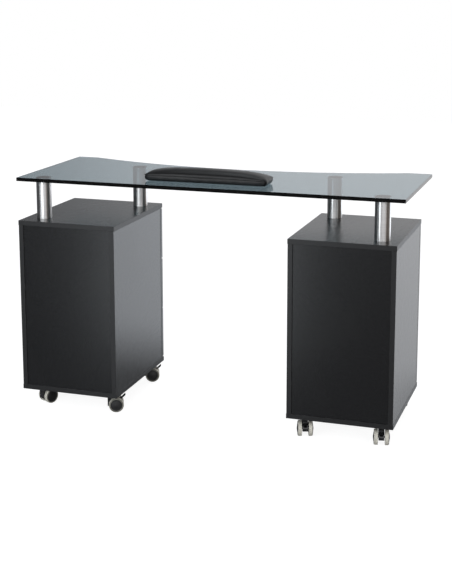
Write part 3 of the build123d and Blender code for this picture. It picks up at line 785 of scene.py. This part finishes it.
@dataclass
class Caster:
    """One twin-wheel caster: its treads, its caps and, on some, its brake lever."""

    place: str
    spot: tuple[float, float]
    heading: float
    braked: bool
    trail: float = 0.019
    wheel_radius: float = 0.025
    inner: float = 0.011
    width: float = 0.013
    hub_radius: float = 0.0195
    dome: float = 0.0025
    shoulder: float = 0.0042
    # share of the round shoulder that takes the painted shade
    shoulder_shaded_share: float = 0.4
    bore: float = 0.00305
    lever_pivot: tuple[float, float] = (0.027, 0.037)
    lever_angle: float = 39.0
    lever_length: float = 0.030
    segments: int = 72

    def __post_init__(self) -> None:
        """Works out the caster's own directions."""
        turn = math.radians(self.heading)
        self.forward = np.array([math.cos(turn), math.sin(turn), 0.0])
        self.axle = np.array([-math.sin(turn), math.cos(turn), 0.0])
        self.middle = np.array([*self.spot, self.wheel_radius]) + self.trail * self.forward

    def build(self) -> None:
        """Makes the caster's pieces."""
        treads, caps = Surfaces(), Surfaces()
        section = self.tread_profile()
        # The outer part of each tread's round shoulder and its outer side take the darker copy of the
        # plastic: painted shade
        painted_shade_from = self.inner + self.width - self.shoulder_shaded_share * self.shoulder
        shoulder = (section[:, 0] > painted_shade_from).astype(int)
        for hand in Hand:
            treads.add(self.wheel(section, hand), wrap_u=True, wrap_v=True, shade=shoulder)
            caps.add(self.wheel(self.cap_profile(), hand), wrap_v=True)
        tread = treads.make(f"caster_{self.place}_treads", 50.0)
        cap = caps.make(f"caster_{self.place}_caps", 35.0)
        tread.data.materials.append(MATERIALS["wheel_plastic"])
        tread.data.materials.append(MATERIALS["wheel_shoulder"])
        dress(cap, "wheel_cap")
        for piece, slot in ((tread, "wheel_plastic"), (cap, "black_nylon")):
            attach(piece, f"wheels_{self.place}")
        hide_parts(f"caster_{self.place}_wheels")
        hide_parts(f"caster_{self.place}_wheels")
        if self.braked:
            lever = self.lever()
            dress(lever, "black_nylon")
            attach(lever, f"brake_{self.place}")
            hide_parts(f"caster_{self.place}_brake_lever")
        LOG.info("caster %s, braked %s", self.place, self.braked)

    def wheel(self, profile: np.ndarray, hand: Hand) -> np.ndarray:
        """A wheel surface on one side, from its profile of across and radius."""
        return spin(profile, self.middle, hand.value * self.axle, self.segments)

    def tread_profile(self) -> np.ndarray:
        """The tread's closed section: flat inner side, two grooves in the running face, round outer shoulder.

        Returns:
            (n, 2) points of across and radius.
        """
        ease, lip = 0.001, 0.0006
        groove_depth, groove_width, groove_spots = 0.00035, 0.05, (0.3, 0.7)
        outer, radius = self.inner + self.width, self.wheel_radius
        flat_end = outer - self.shoulder
        across = np.linspace(self.inner + ease, flat_end, 22)
        share = (across - across[0]) / (across[-1] - across[0])
        groove = sum(bell(share - spot, groove_width) for spot in groove_spots)
        running = np.stack([across, radius - groove_depth * groove], axis=1)
        inside = corner_arc((self.inner + ease, radius - ease), ease, 180, 90, 5)
        round_off = corner_arc((flat_end, radius - self.shoulder), self.shoulder, 90, 0, 12)
        seat = np.array([[outer, self.hub_radius + lip], [outer - lip, self.hub_radius],
                         [self.inner, self.hub_radius]])
        return np.vstack([inside[:-1], running[:-1], round_off, seat])

    def cap_profile(self) -> np.ndarray:
        """The cap's section: a low dome with a ring groove and a boss, a bore for the axle, a plain back.

        Height of the dome: dome * (1 - (radius / hub radius) squared), less a bell for the ring groove,
        less a soft step outside the boss, so that the boss stands proud inside 5.2 mm.

        Returns:
            (n, 2) points of across and radius, from the middle of the outer face round to the bore.
        """
        rim, rim_drop = 0.0008, [-0.0001, -0.0004, -0.0009]
        ring_depth, ring_radius, ring_width = 0.00055, 0.0158, 0.0006
        boss_height, boss_radius, boss_ease, boss_flat = 0.0005, 0.0052, 0.0003, 0.0001
        collar, collar_radius, collar_foot, floor = 0.0006, 0.0068, 0.0075, 0.0012
        outer = self.inner + self.width
        radius = np.concatenate([np.linspace(0.0, self.hub_radius - rim, 34),
                                 self.hub_radius - rim * np.array([0.5, 0.12, 0.0])])
        height = self.dome * (1 - (radius / self.hub_radius) ** 2)
        height -= ring_depth * bell(radius - ring_radius, ring_width)
        height -= boss_height * rise_at(radius, boss_radius, boss_ease)
        height = np.minimum(height, self.dome - boss_flat)
        height[-3:] = rim_drop
        face = np.stack([outer + height, radius], axis=1)
        back = np.array([[self.inner + rim, self.hub_radius], [self.inner, self.hub_radius - rim],
                         [self.inner, collar_foot], [self.inner - collar, collar_radius],
                         [self.inner - collar, self.bore], [outer - floor, self.bore], [outer - floor, 0.0]])
        return np.vstack([face, back])

    def lever(self) -> bpy.types.Object:
        """The brake lever: a squared section carried along a line from the pivot to the toe.

        Each section is a squared circle of half width across and half thickness up. Both sizes and the
        rise change along the line: a round root, a neck, a wider blade with three ribs, and a round toe.

        Returns:
            The lever's mesh object.
        """
        root, toe_length = 0.004, 0.0015
        neck_half, blade_half, blade_from, blade_ease = 0.0047, 0.009, 0.0165, 0.0006
        thin_half, root_extra, root_fade = 0.00225, 0.00175, 0.0022
        blade_rise, blade_run, blade_sink = 0.0009, 0.0185, 0.0005
        rib_height, rib_from, rib_pitch = 0.0005, 0.019, 0.0048
        lean = math.radians(self.lever_angle)
        along = np.array([math.cos(lean), 0.0, math.sin(lean)])
        raised = np.array([-math.sin(lean), 0.0, math.cos(lean)])
        tip = self.lever_length - toe_length
        step = np.concatenate([root * -np.cos(np.linspace(0, np.pi / 2, 9)), np.linspace(0.001, tip, 60),
                               tip + toe_length * np.sin(np.linspace(0.2, np.pi / 2, 7))])
        round_root = np.sqrt(np.clip(1 - (step / root) ** 2, 0.0, 1.0))
        toe = np.sqrt(np.clip(1 - (np.maximum(step - tip, 0.0) / toe_length) ** 2, 0.0, 1.0))
        blade = rise_at(step, blade_from, blade_ease)
        half_width = neck_half + (blade_half - neck_half) * blade
        half_width *= np.where(step < 0, 1.0, 0.985 + 0.015 * toe)
        thick = thin_half + root_extra * bell(step, root_fade)
        half_thick = np.where(step < 0.0, root * round_root, thick) * toe
        rise = blade_rise * blade * (step - blade_from) / blade_run
        ribs = rib_height * blade * np.clip(np.sin((step - rib_from) / rib_pitch * 2 * np.pi), 0, 1) * toe
        across, up = squared_circle(np.linspace(0, 2 * np.pi, 40, endpoint=False), 0.45, 0.45)
        x_part = step[:, None] * np.ones_like(up)
        y_part = half_width[:, None] * across
        z_part = (half_thick - blade_sink * blade)[:, None] * up + rise[:, None] + ribs[:, None] * (up > 0.5)
        local = x_part[..., None] * along + z_part[..., None] * raised
        grid = (np.array([*self.spot, 0.0]) + (self.lever_pivot[0] + local[..., :1]) * self.forward
                + y_part[..., None] * self.axle)
        grid[..., 2] = self.lever_pivot[1] + local[..., 2]
        first, last = (np.repeat(row.mean(axis=1, keepdims=True), grid.shape[1], axis=1)
                       for row in (grid[:1], grid[-1:]))
        made = Surfaces()
        made.add(np.concatenate([first, grid, last]), wrap_v=True)
        return made.make(f"caster_{self.place}_pedal", 60.0)


# How the wrist rest's cover behaves while it is filled
CLOTH = {"quality": 6, "mass": 0.25, "tension_stiffness": 22, "compression_stiffness": 22,
         "shear_stiffness": 12, "bending_stiffness": 3.0, "pin_stiffness": 6.0}


@dataclass
class WristRest:
    """The padded wrist rest: a sewn leatherette cover over foam, its piped seam and its stitches."""

    centre: tuple[float, float] = (-0.015, -0.1205)
    under: float = 0.785
    length: float = 0.420
    depth: float = 0.098
    wall: float = 0.0195
    end_wall: float = 0.018
    wall_bulge: float = 0.0012
    crown: float = 0.0225
    end_tuck: float = 0.003
    foot_tuck: float = 0.0008
    start_inset: float = 0.0014
    corner_power: tuple[float, float] = (0.14, 0.22)
    waist: tuple[float, float] = (0.006, 0.014)
    voxel: float = 0.004
    pressure: float = 4.0
    frames: int = 20
    hold_width: float = 0.004
    hold_base: float = 0.0015
    hold_least: float = 0.01
    cap: float = 0.006
    piping: float = 0.0011
    seam_width: float = 0.0024
    seam_depth: float = 0.0010
    stitch_inset: float = 0.0034
    stitch_half: float = 0.00135
    stitch_radius: float = 0.00028
    stitch_lift: float = 0.00012

    def seam_height(self, share: np.ndarray) -> np.ndarray:
        """Height of the seam above the underside: wall, falling to end_wall with share to the fourth."""
        return self.wall - (self.wall - self.end_wall) * np.abs(share) ** 4

    def seam_path(self, out: float = 0.0, steps: int = 480) -> np.ndarray:
        """The seam as a rounded oblong at the top of the walls.

        The plan is a squared circle of half length and half depth, with sides that pull in a little at the
        middle: each is scaled by 1 - waist * (1 - (the other / its half size) squared).

        Args:
            out: how far the path stands outside the seam.
            steps: number of points, spaced evenly along it.

        Returns:
            (steps, 3) points.
        """
        x_part, y_part = squared_circle(np.linspace(0, 2 * np.pi, 8001)[:-1], *self.corner_power)
        x_part *= self.length / 2 - self.start_inset + out
        y_part *= self.depth / 2 - self.start_inset + out
        y_part *= 1 - self.waist[1] * (1 - (x_part / (self.length / 2)) ** 2)
        x_part *= 1 - self.waist[0] * (1 - (y_part / (self.depth / 2)) ** 2)
        gone = np.concatenate([[0.0], np.cumsum(np.hypot(np.diff(x_part), np.diff(y_part)))])
        even = np.linspace(0, gone[-1], steps, endpoint=False)
        x_even, y_even = np.interp(even, gone, x_part), np.interp(even, gone, y_part)
        height = self.seam_height(x_even / (self.length / 2))
        return np.stack([self.centre[0] + x_even, self.centre[1] + y_even, self.under + height], axis=1)

    def shell(self) -> np.ndarray:
        """The cover before it is filled, as rings from the middle of the base to the middle of the crown.

        Base: the seam's plan drawn in by the tucks. Wall: from base to seam, with a half-sine bulge.
        Crown: rings that shrink to the middle while the height rises above the seam as
        crown * (1 - along ** 3) ** 0.55 * (1 - over ** 2.4) ** 0.6, with along and over from 0 to 1.

        Returns:
            A grid of shape (rings, steps, 3) that wraps in its second direction.
        """
        seam = self.seam_path()
        middle = np.array([*self.centre, self.under])
        upright = np.array([0, 0, 1.0])
        flat = seam - middle
        flat[:, 2] = 0.0
        far = np.linalg.norm(flat, axis=1, keepdims=True)
        reach = np.abs(flat[:, :1]) / (self.length / 2)
        foot = flat * (1 - self.end_tuck * reach / far) * (1 - self.foot_tuck / far)
        rings = [middle + foot * share for share in np.linspace(0, 1, 16)]
        height = seam[:, 2:] - self.under
        for share in np.linspace(0, 1, 10)[1:]:
            ring = foot + (flat - foot) * np.sin(share * np.pi / 2)
            ring = ring * (1 + self.wall_bulge * np.sin(np.pi * share) / far)
            rings.append(middle + ring + upright * height * share)
        for share in np.linspace(1, 0, 26)[1:]:
            ring = flat * share
            along = np.clip(np.abs(ring[:, :1]) / (self.length / 2), 0, 1)
            over = np.clip(np.abs(ring[:, 1:2]) / (self.depth / 2), 0, 1)
            arch = (1 - along**3) ** 0.55 * (1 - over**2.4) ** 0.6
            base = self.seam_height(ring[:, :1] / (self.length / 2))
            rings.append(middle + ring + upright * (base + self.crown * arch))
        return np.stack(rings)

    def build(self) -> None:
        """Makes the cover, fills it, and sews it."""
        made = Surfaces()
        made.add(self.shell(), wrap_v=True)
        cover = made.make("wrist_rest_cover", 180.0)
        self.fill(cover)
        self.press_seams(cover)
        dress(cover, "black_leatherette")
        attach(cover, "table")
        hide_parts("wrist_rest_pad")
        seams = Surfaces()
        cord = tube(self.seam_path(self.piping * 0.4), self.piping, 10, closed=True)
        seams.add(cord, wrap_u=True, wrap_v=True)
        piping = seams.make("wrist_rest_piping", 180.0)
        dress(piping, "black_leatherette")
        stitches = self.stitches(cover)
        dress(stitches, "seam_thread")
        for piece in (piping, stitches):
            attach(piece, "table")
        LOG.info("wrist rest: %d vertices in the cover", len(cover.data.vertices))

    def fill(self, cover: bpy.types.Object) -> None:
        """Fills the cover by cloth pressure, with its base and its seam held.

        Args:
            cover: the cover, whose mesh is made even first.
        """
        remesh = cover.modifiers.new("remesh", "REMESH")
        remesh.mode = "VOXEL"
        remesh.voxel_size = self.voxel
        remesh.use_smooth_shade = True
        self.apply(cover)
        self.inflate(cover)
        finer = cover.modifiers.new("finer", "SUBSURF")
        finer.levels = finer.render_levels = 1
        self.apply(cover)

    def inflate(self, cover: bpy.types.Object) -> None:
        """Runs the cloth, and keeps each point within the cap of where it started and above the glass.

        Args:
            cover: the cover, with an even mesh.
        """
        start = self.points(cover)
        held = cover.vertex_groups.new(name="held")
        weights = self.hold_weights(start)
        for index in np.nonzero(weights > self.hold_least)[0]:
            held.add([int(index)], float(weights[index]), "REPLACE")
        cloth = cover.modifiers.new("cloth", "CLOTH")
        for name, value in CLOTH.items():
            setattr(cloth.settings, name, value)
        cloth.settings.use_pressure = True
        cloth.settings.uniform_pressure_force = self.pressure
        cloth.settings.vertex_group_mass = "held"
        cloth.settings.effector_weights.gravity = 0.0
        cloth.point_cache.frame_start, cloth.point_cache.frame_end = 1, self.frames
        scene = bpy.context.scene
        for number in range(1, self.frames + 1):
            scene.frame_set(number)
        self.apply(cover)
        scene.frame_set(1)
        moved = self.points(cover) - start
        far = np.linalg.norm(moved, axis=1, keepdims=True)
        moved *= np.minimum(1.0, self.cap / np.maximum(far, 1e-9))
        self.put(cover, start + moved)
        cover.vertex_groups.clear()

    def hold_weights(self, points: np.ndarray) -> np.ndarray:
        """How firmly each point is held: fully on the base, and near the seam by a bell."""
        near_seam = bell(self.seam_distance(points), self.hold_width)
        return np.maximum(near_seam, (points[:, 2] < self.under + self.hold_base).astype(float))

    def seam_distance(self, points: np.ndarray) -> np.ndarray:
        """Each point's distance from the nearest point of the seam, worked out 4000 points at a time.

        Args:
            points: (n, 3) points.

        Returns:
            (n,) distances.
        """
        seam = self.seam_path()
        return np.concatenate([
            np.sqrt(((chunk[:, None] - seam[None]) ** 2).sum(axis=2)).min(axis=1)
            for chunk in np.array_split(points, max(1, len(points) // 4000))
        ])

    def press_seams(self, cover: bpy.types.Object) -> None:
        """Draws the cover in along its seam by a bell, and puckers it faintly 5 mm from the seam.

        Args:
            cover: the filled cover.
        """
        pucker_depth, pucker_away, pucker_width, base_fade = 0.00022, 0.005, 0.004, 0.003
        points = self.points(cover)
        normals = np.zeros(len(points) * 3, np.float32)
        cover.data.vertices.foreach_get("normal", normals)
        near = self.seam_distance(points)
        round_way = points[:, 0] * 160 + points[:, 1] * 190
        pucker = pucker_depth * np.sin(round_way) * bell(near - pucker_away, pucker_width)
        base = np.clip((points[:, 2] - self.under) / base_fade, 0, 1)
        move = (pucker - self.seam_depth * bell(near, self.seam_width)) * base
        self.put(cover, points + normals.reshape(-1, 3) * move[:, None])
        cover.data.update()

    def stitches(self, cover: bpy.types.Object) -> bpy.types.Object:
        """A row of short stitches on the top panel, 3.4 mm inside the seam, each a small spindle.

        Args:
            cover: the finished cover, which they lie on.

        Returns:
            The stitches as one mesh object.
        """
        above, number = 0.05, 250
        seen = cover.evaluated_get(bpy.context.evaluated_depsgraph_get())
        landed = []
        for x, y, z in self.seam_path(-self.stitch_inset, number):
            hit, spot, _, _ = seen.ray_cast((x, y, z + above), (0.0, 0.0, -1.0))
            landed.append(spot if hit else (x, y, z))
        path = np.array(landed)
        along = np.roll(path, -1, axis=0) - np.roll(path, 1, axis=0)
        along /= np.linalg.norm(along, axis=1, keepdims=True)
        step = np.linspace(-1, 1, 6)
        turn = np.linspace(0, 2 * np.pi, 6, endpoint=False)
        size = self.stitch_radius * np.sqrt(np.clip(1 - step**4, 0, 1))
        made = Surfaces()
        for spot, way in zip(path, along):
            side = np.cross(way, (0.0, 0.0, 1.0))
            side /= np.linalg.norm(side)
            top = np.cross(side, way)
            ring = np.cos(turn)[None, :, None] * side + np.sin(turn)[None, :, None] * top
            line = spot + self.stitch_half * step[:, None] * way + self.stitch_lift * top
            made.add(line[:, None] + size[:, None, None] * ring, wrap_v=True)
        return made.make("wrist_rest_stitches", 180.0)

    def points(self, piece: bpy.types.Object) -> np.ndarray:
        """The vertices of a piece's mesh.

        Args:
            piece: the mesh object.

        Returns:
            (n, 3) points.
        """
        flat = np.zeros(len(piece.data.vertices) * 3, np.float32)
        piece.data.vertices.foreach_get("co", flat)
        return flat.reshape(-1, 3).astype(float)

    def put(self, piece: bpy.types.Object, points: np.ndarray) -> None:
        """Moves the vertices of a piece's mesh, and lets none go below the cover's underside."""
        points[:, 2] = np.maximum(points[:, 2], self.under)
        piece.data.vertices.foreach_set("co", points.astype(np.float32).ravel())

    def apply(self, piece: bpy.types.Object) -> None:
        """Keeps the result of the piece's modifiers in its mesh.

        Args:
            piece: the mesh object.
        """
        depsgraph = bpy.context.evaluated_depsgraph_get()
        mesh = bpy.data.meshes.new_from_object(piece.evaluated_get(depsgraph))
        piece.modifiers.clear()
        piece.data = mesh
        mesh.shade_smooth()


# ---------------------------------------------------------------- studio


PANEL_LIGHT: Colour = (0.9, 0.96, 1.0)


@dataclass(frozen=True)
class Panel:
    """A rectangular light: its place and size in metres, its power in watts, its lean and turn in degrees."""

    name: str
    place: tuple[float, float, float]
    size: tuple[float, float]
    power: float
    lean: float = 0.0
    turn: float = 0.0
    spares_glass: bool = False

    def build(self) -> None:
        """Makes the light; if it spares the glass, the glass top neither takes nor mirrors it."""
        light = bpy.data.lights.new(self.name, "AREA")
        light.shape = "RECTANGLE"
        light.size, light.size_y = self.size
        light.energy = self.power
        light.color = PANEL_LIGHT
        lamp = bpy.data.objects.new(self.name, light)
        lamp.location = self.place
        lamp.rotation_euler = (math.radians(self.lean), 0.0, math.radians(self.turn))
        lamp.visible_camera = False
        bpy.context.scene.collection.objects.link(lamp)
        if self.spares_glass:
            spared = bpy.data.collections.new(f"not_lit_by_{self.name}")
            spared.objects.link(frame["nodes"]["glass_top"])
            spared.collection_objects[0].light_linking.link_state = "EXCLUDE"
            lamp.light_linking.receiver_collection = spared


# A broad soft light overhead, a tall panel in front that the boards mirror, a panel at the side for the posts
PANELS = (
    Panel("overhead", (0.4, 0.6, 3.4), (2.8, 1.8), 24.0),
    Panel("front_panel", (-0.64, -2.0, 0.42), (0.84, 1.5), 10.5, lean=90.0, spares_glass=True),
    Panel("side_panel", (-1.15, -1.15, 1.3), (0.6, 0.8), 3.5, lean=80.0, turn=-55.0),
)


@dataclass
class Studio:
    """The plain pale floor, the soft light all round and the camera."""

    camera_at: tuple[float, float, float] = (1.2902, -3.8618, 1.4635)
    pitch: float = 10.11
    yaw: float = 17.961
    lens: float = 76.5
    shift: tuple[float, float] = (-0.0163, -0.1747)
    sensor: float = 36.0
    clip_end: float = 60.0
    floor_size: float = 16.0
    floor_drop: float = 0.0002
    floor_grey: tuple[float, float] = (0.34, 0.36)
    floor_glow: float = 0.9
    mirrored_middle: float = -0.3
    mirrored_half: tuple[float, float] = (0.6, 0.2)
    mirrored_fade: float = 0.6
    horizon: tuple[float, float] = (-0.05, 0.12)
    sinking: tuple[float, float, float] = (-0.38, -0.16, 0.6)
    ceiling: tuple[float, float] = (0.4, 0.8)
    ceiling_light: Colour = (0.1, 0.1, 0.105)
    gain: Colour = (2.0, 2.0, 2.03)
    # Light round the room: degrees from +Y towards +X, brightness and warmth, above the horizon and below it
    above: tuple[tuple[float, float, float], ...] = (
        (0, 0.84, 0.0), (12, 0.9, 0.0), (20, 1.5, 0.0), (32, 1.5, 0.0), (50, 1.1, 0.02), (62, 0.15, 0.12),
        (115, 0.2, 0.15), (125, 1.6, 0.03), (150, 2.2, 0.0), (200, 2.0, 0.0), (215, 1.6, -0.02),
        (228, 0.1, -0.05), (324, 0.12, -0.03), (330, 0.22, -0.02), (337, 0.58, -0.02), (344, 0.8, -0.01),
        (352, 0.84, 0.0),
    )
    below: tuple[tuple[float, float, float], ...] = (
        (0, 0.88, 0.0), (12, 0.96, 0.0), (20, 2.3, -0.05), (34, 2.2, -0.05), (50, 1.1, 0.02),
        (62, 0.15, 0.12), (115, 0.16, 0.15), (125, 0.45, 0.03), (172, 0.5, 0.0), (188, 0.2, 0.0),
        (212, 0.16, -0.02), (228, 0.08, -0.05), (322, 0.12, -0.03), (330, 0.3, -0.02), (337, 0.6, -0.02),
        (346, 0.75, -0.01), (357, 0.8, 0.0),
    )

    def build(self) -> None:
        """Sets up the view, the world, the floor and the camera."""
        scene = bpy.context.scene
        scene.view_settings.view_transform = "Standard"
        self.world(scene)
        self.floor()
        for panel in PANELS:
            panel.build()
        camera_data = bpy.data.cameras.new("camera")
        camera_data.sensor_width = self.sensor
        camera_data.lens = self.lens
        camera_data.shift_x, camera_data.shift_y = self.shift
        camera_data.clip_end = self.clip_end
        camera = bpy.data.objects.new("camera", camera_data)
        camera.location = self.camera_at
        camera.rotation_euler = (math.radians(90 - self.pitch), 0.0, math.radians(self.yaw))
        scene.collection.objects.link(camera)
        scene.camera = camera
        LOG.info("studio ready")

    def world(self, scene: bpy.types.Scene) -> None:
        """White where the camera looks, and a ring of bright and dim sides for light and reflections.

        Args:
            scene: the scene to light.
        """
        world = bpy.data.worlds.new("studio")
        scene.world = world
        world.use_nodes = True
        bench = Bench(world.node_tree)
        way = bench.add("SeparateXYZ", in_0=bench.add("TexCoord").outputs["Generated"])
        angle = bench.math("ARCTAN2", way.outputs[0], way.outputs[1])
        share = bench.math("FRACT", bench.math("ADD", bench.math("DIVIDE", angle, 2 * math.pi), 1.0))
        sunk = bench.add("VectorMath", operation="SCALE", in_0=self.ring(bench, share, self.below),
                         in_Scale=bench.map_range(way.outputs[2], *self.sinking))
        lit = bench.mix(bench.map_range(way.outputs[2], *self.horizon), sunk.outputs[0],
                        self.ring(bench, share, self.above))
        lit = bench.mix(bench.map_range(way.outputs[2], *self.ceiling), lit, rgba(self.ceiling_light))
        lit = bench.add("VectorMath", operation="MULTIPLY", in_0=lit, in_1=self.gain).outputs[0]
        shown = bench.mix(self.seen_directly(bench), lit, rgba((1.0, 1.0, 1.0)))
        bench.link(shown, world.node_tree.nodes["Background"].inputs["Color"])

    def ring(self, bench: Bench, share: bpy.types.NodeSocket,
             stops: tuple[tuple[float, float, float], ...]) -> bpy.types.NodeSocket:
        """A band of light round the room.

        Args:
            bench: the world's bench.
            share: the share of a full turn.
            stops: degrees, brightness and warmth, in order; the band holds half the brightness.

        Returns:
            The band's colour socket.
        """
        ramp = bench.add("ValToRGB", in_0=share)
        elements = ramp.color_ramp.elements
        elements.remove(elements[1])
        elements[0].position = 0.0
        for degrees, _, _ in (*stops[1:], (360.0, 0.0, 0.0)):
            elements.new(degrees / 360)
        for element, (_, bright, warm) in zip(elements, (*stops, stops[0])):
            element.color = rgba((bright / 2 * (1 + warm), bright / 2, bright / 2 * (1 - warm)))
        return ramp.outputs[0]

    def seen_directly(self, bench: Bench) -> bpy.types.NodeSocket:
        """One for what the camera sees, also through the glass, and zero for light and reflections."""
        path = bench.add("LightPath")
        return bench.math("MAXIMUM", path.outputs["Is Camera Ray"], path.outputs["Is Transmission Ray"])

    def floor(self) -> None:
        """A pale floor: bright where it is seen, with faint contact shadows, and mirrored only nearby.

        It is mirrored from under the left pedestal to the middle, and fades out over 0.6 m round that.
        """
        line = np.linspace(-self.floor_size / 2, self.floor_size / 2, 9)
        grid = np.stack([*np.meshgrid(line, line, indexing="ij"), np.full((9, 9), -self.floor_drop)], axis=-1)
        made = Surfaces()
        made.add(grid)
        floor = made.make("floor")
        material = bpy.data.materials.new("pale_floor")
        material.use_nodes = True
        bench = Bench(material.node_tree)
        shader = material.node_tree.nodes["Principled BSDF"]
        shader.inputs["Roughness"].default_value = 0.9
        dark, pale = (rgba((grey,) * 3) for grey in self.floor_grey)
        bench.link(bench.mix(bench.noise(bench.place(), 1.5, 3.0), dark, pale), shader.inputs["Base Color"])
        seen = self.seen_directly(bench)
        glow = bench.add("Emission", in_Strength=bench.math("MULTIPLY", seen, self.floor_glow))
        both = bench.add("AddShader", in_0=shader.outputs[0], in_1=glow.outputs[0])
        spot = bench.add("SeparateXYZ", in_0=bench.place())
        offsets = (bench.math("SUBTRACT", spot.outputs[0], self.mirrored_middle), spot.outputs[1])
        beyond = [bench.math("MAXIMUM", bench.math("SUBTRACT", bench.math("ABSOLUTE", offset), half), 0.0)
                  for offset, half in zip(offsets, self.mirrored_half)]
        far = bench.math("SQRT", bench.math("ADD", *(bench.math("POWER", part, 2.0) for part in beyond)))
        faded = bench.map_range(far, 0.0, self.mirrored_fade, to_low=0.1)
        glossy = bench.math("MULTIPLY", bench.add("LightPath").outputs["Is Glossy Ray"],
                            bench.math("SUBTRACT", 1.0, seen))
        whole = bench.add("MixShader", in_0=bench.math("MULTIPLY", glossy, faded), in_1=both.outputs[0],
                          in_2=bench.add("BsdfTransparent").outputs[0])
        bench.link(whole.outputs[0], bench.output().inputs["Surface"])
        floor.data.materials.append(material)


CASTERS = (
    Caster("left_near_outer", (-0.585, -0.2035), 62.0, False),
    Caster("left_near_inner", (-0.337, -0.2035), 24.0, True),
    Caster("left_far_outer", (-0.585, 0.1245), 140.0, False),
    Caster("left_far_inner", (-0.337, 0.1245), 22.0, True),
    Caster("right_near_inner", (0.337, -0.2035), -72.0, True),
    Caster("right_near_outer", (0.585, -0.2035), -78.0, True),
    Caster("right_far_inner", (0.337, 0.1245), 118.0, False),
    Caster("right_far_outer", (0.585, 0.1245), 104.0, False),
)


def main() -> None:
    """Builds the whole scene in order."""
    logging.basicConfig(level=logging.INFO, format="%(message)s")
    build_groups()
    for name, finish in FINISHES.items():
        MATERIALS[name] = finish.build()
    Studio().build()
    Carcass().build()
    for caster in CASTERS:
        caster.build()
    WristRest().build()


if __name__ == "__main__":
    main()
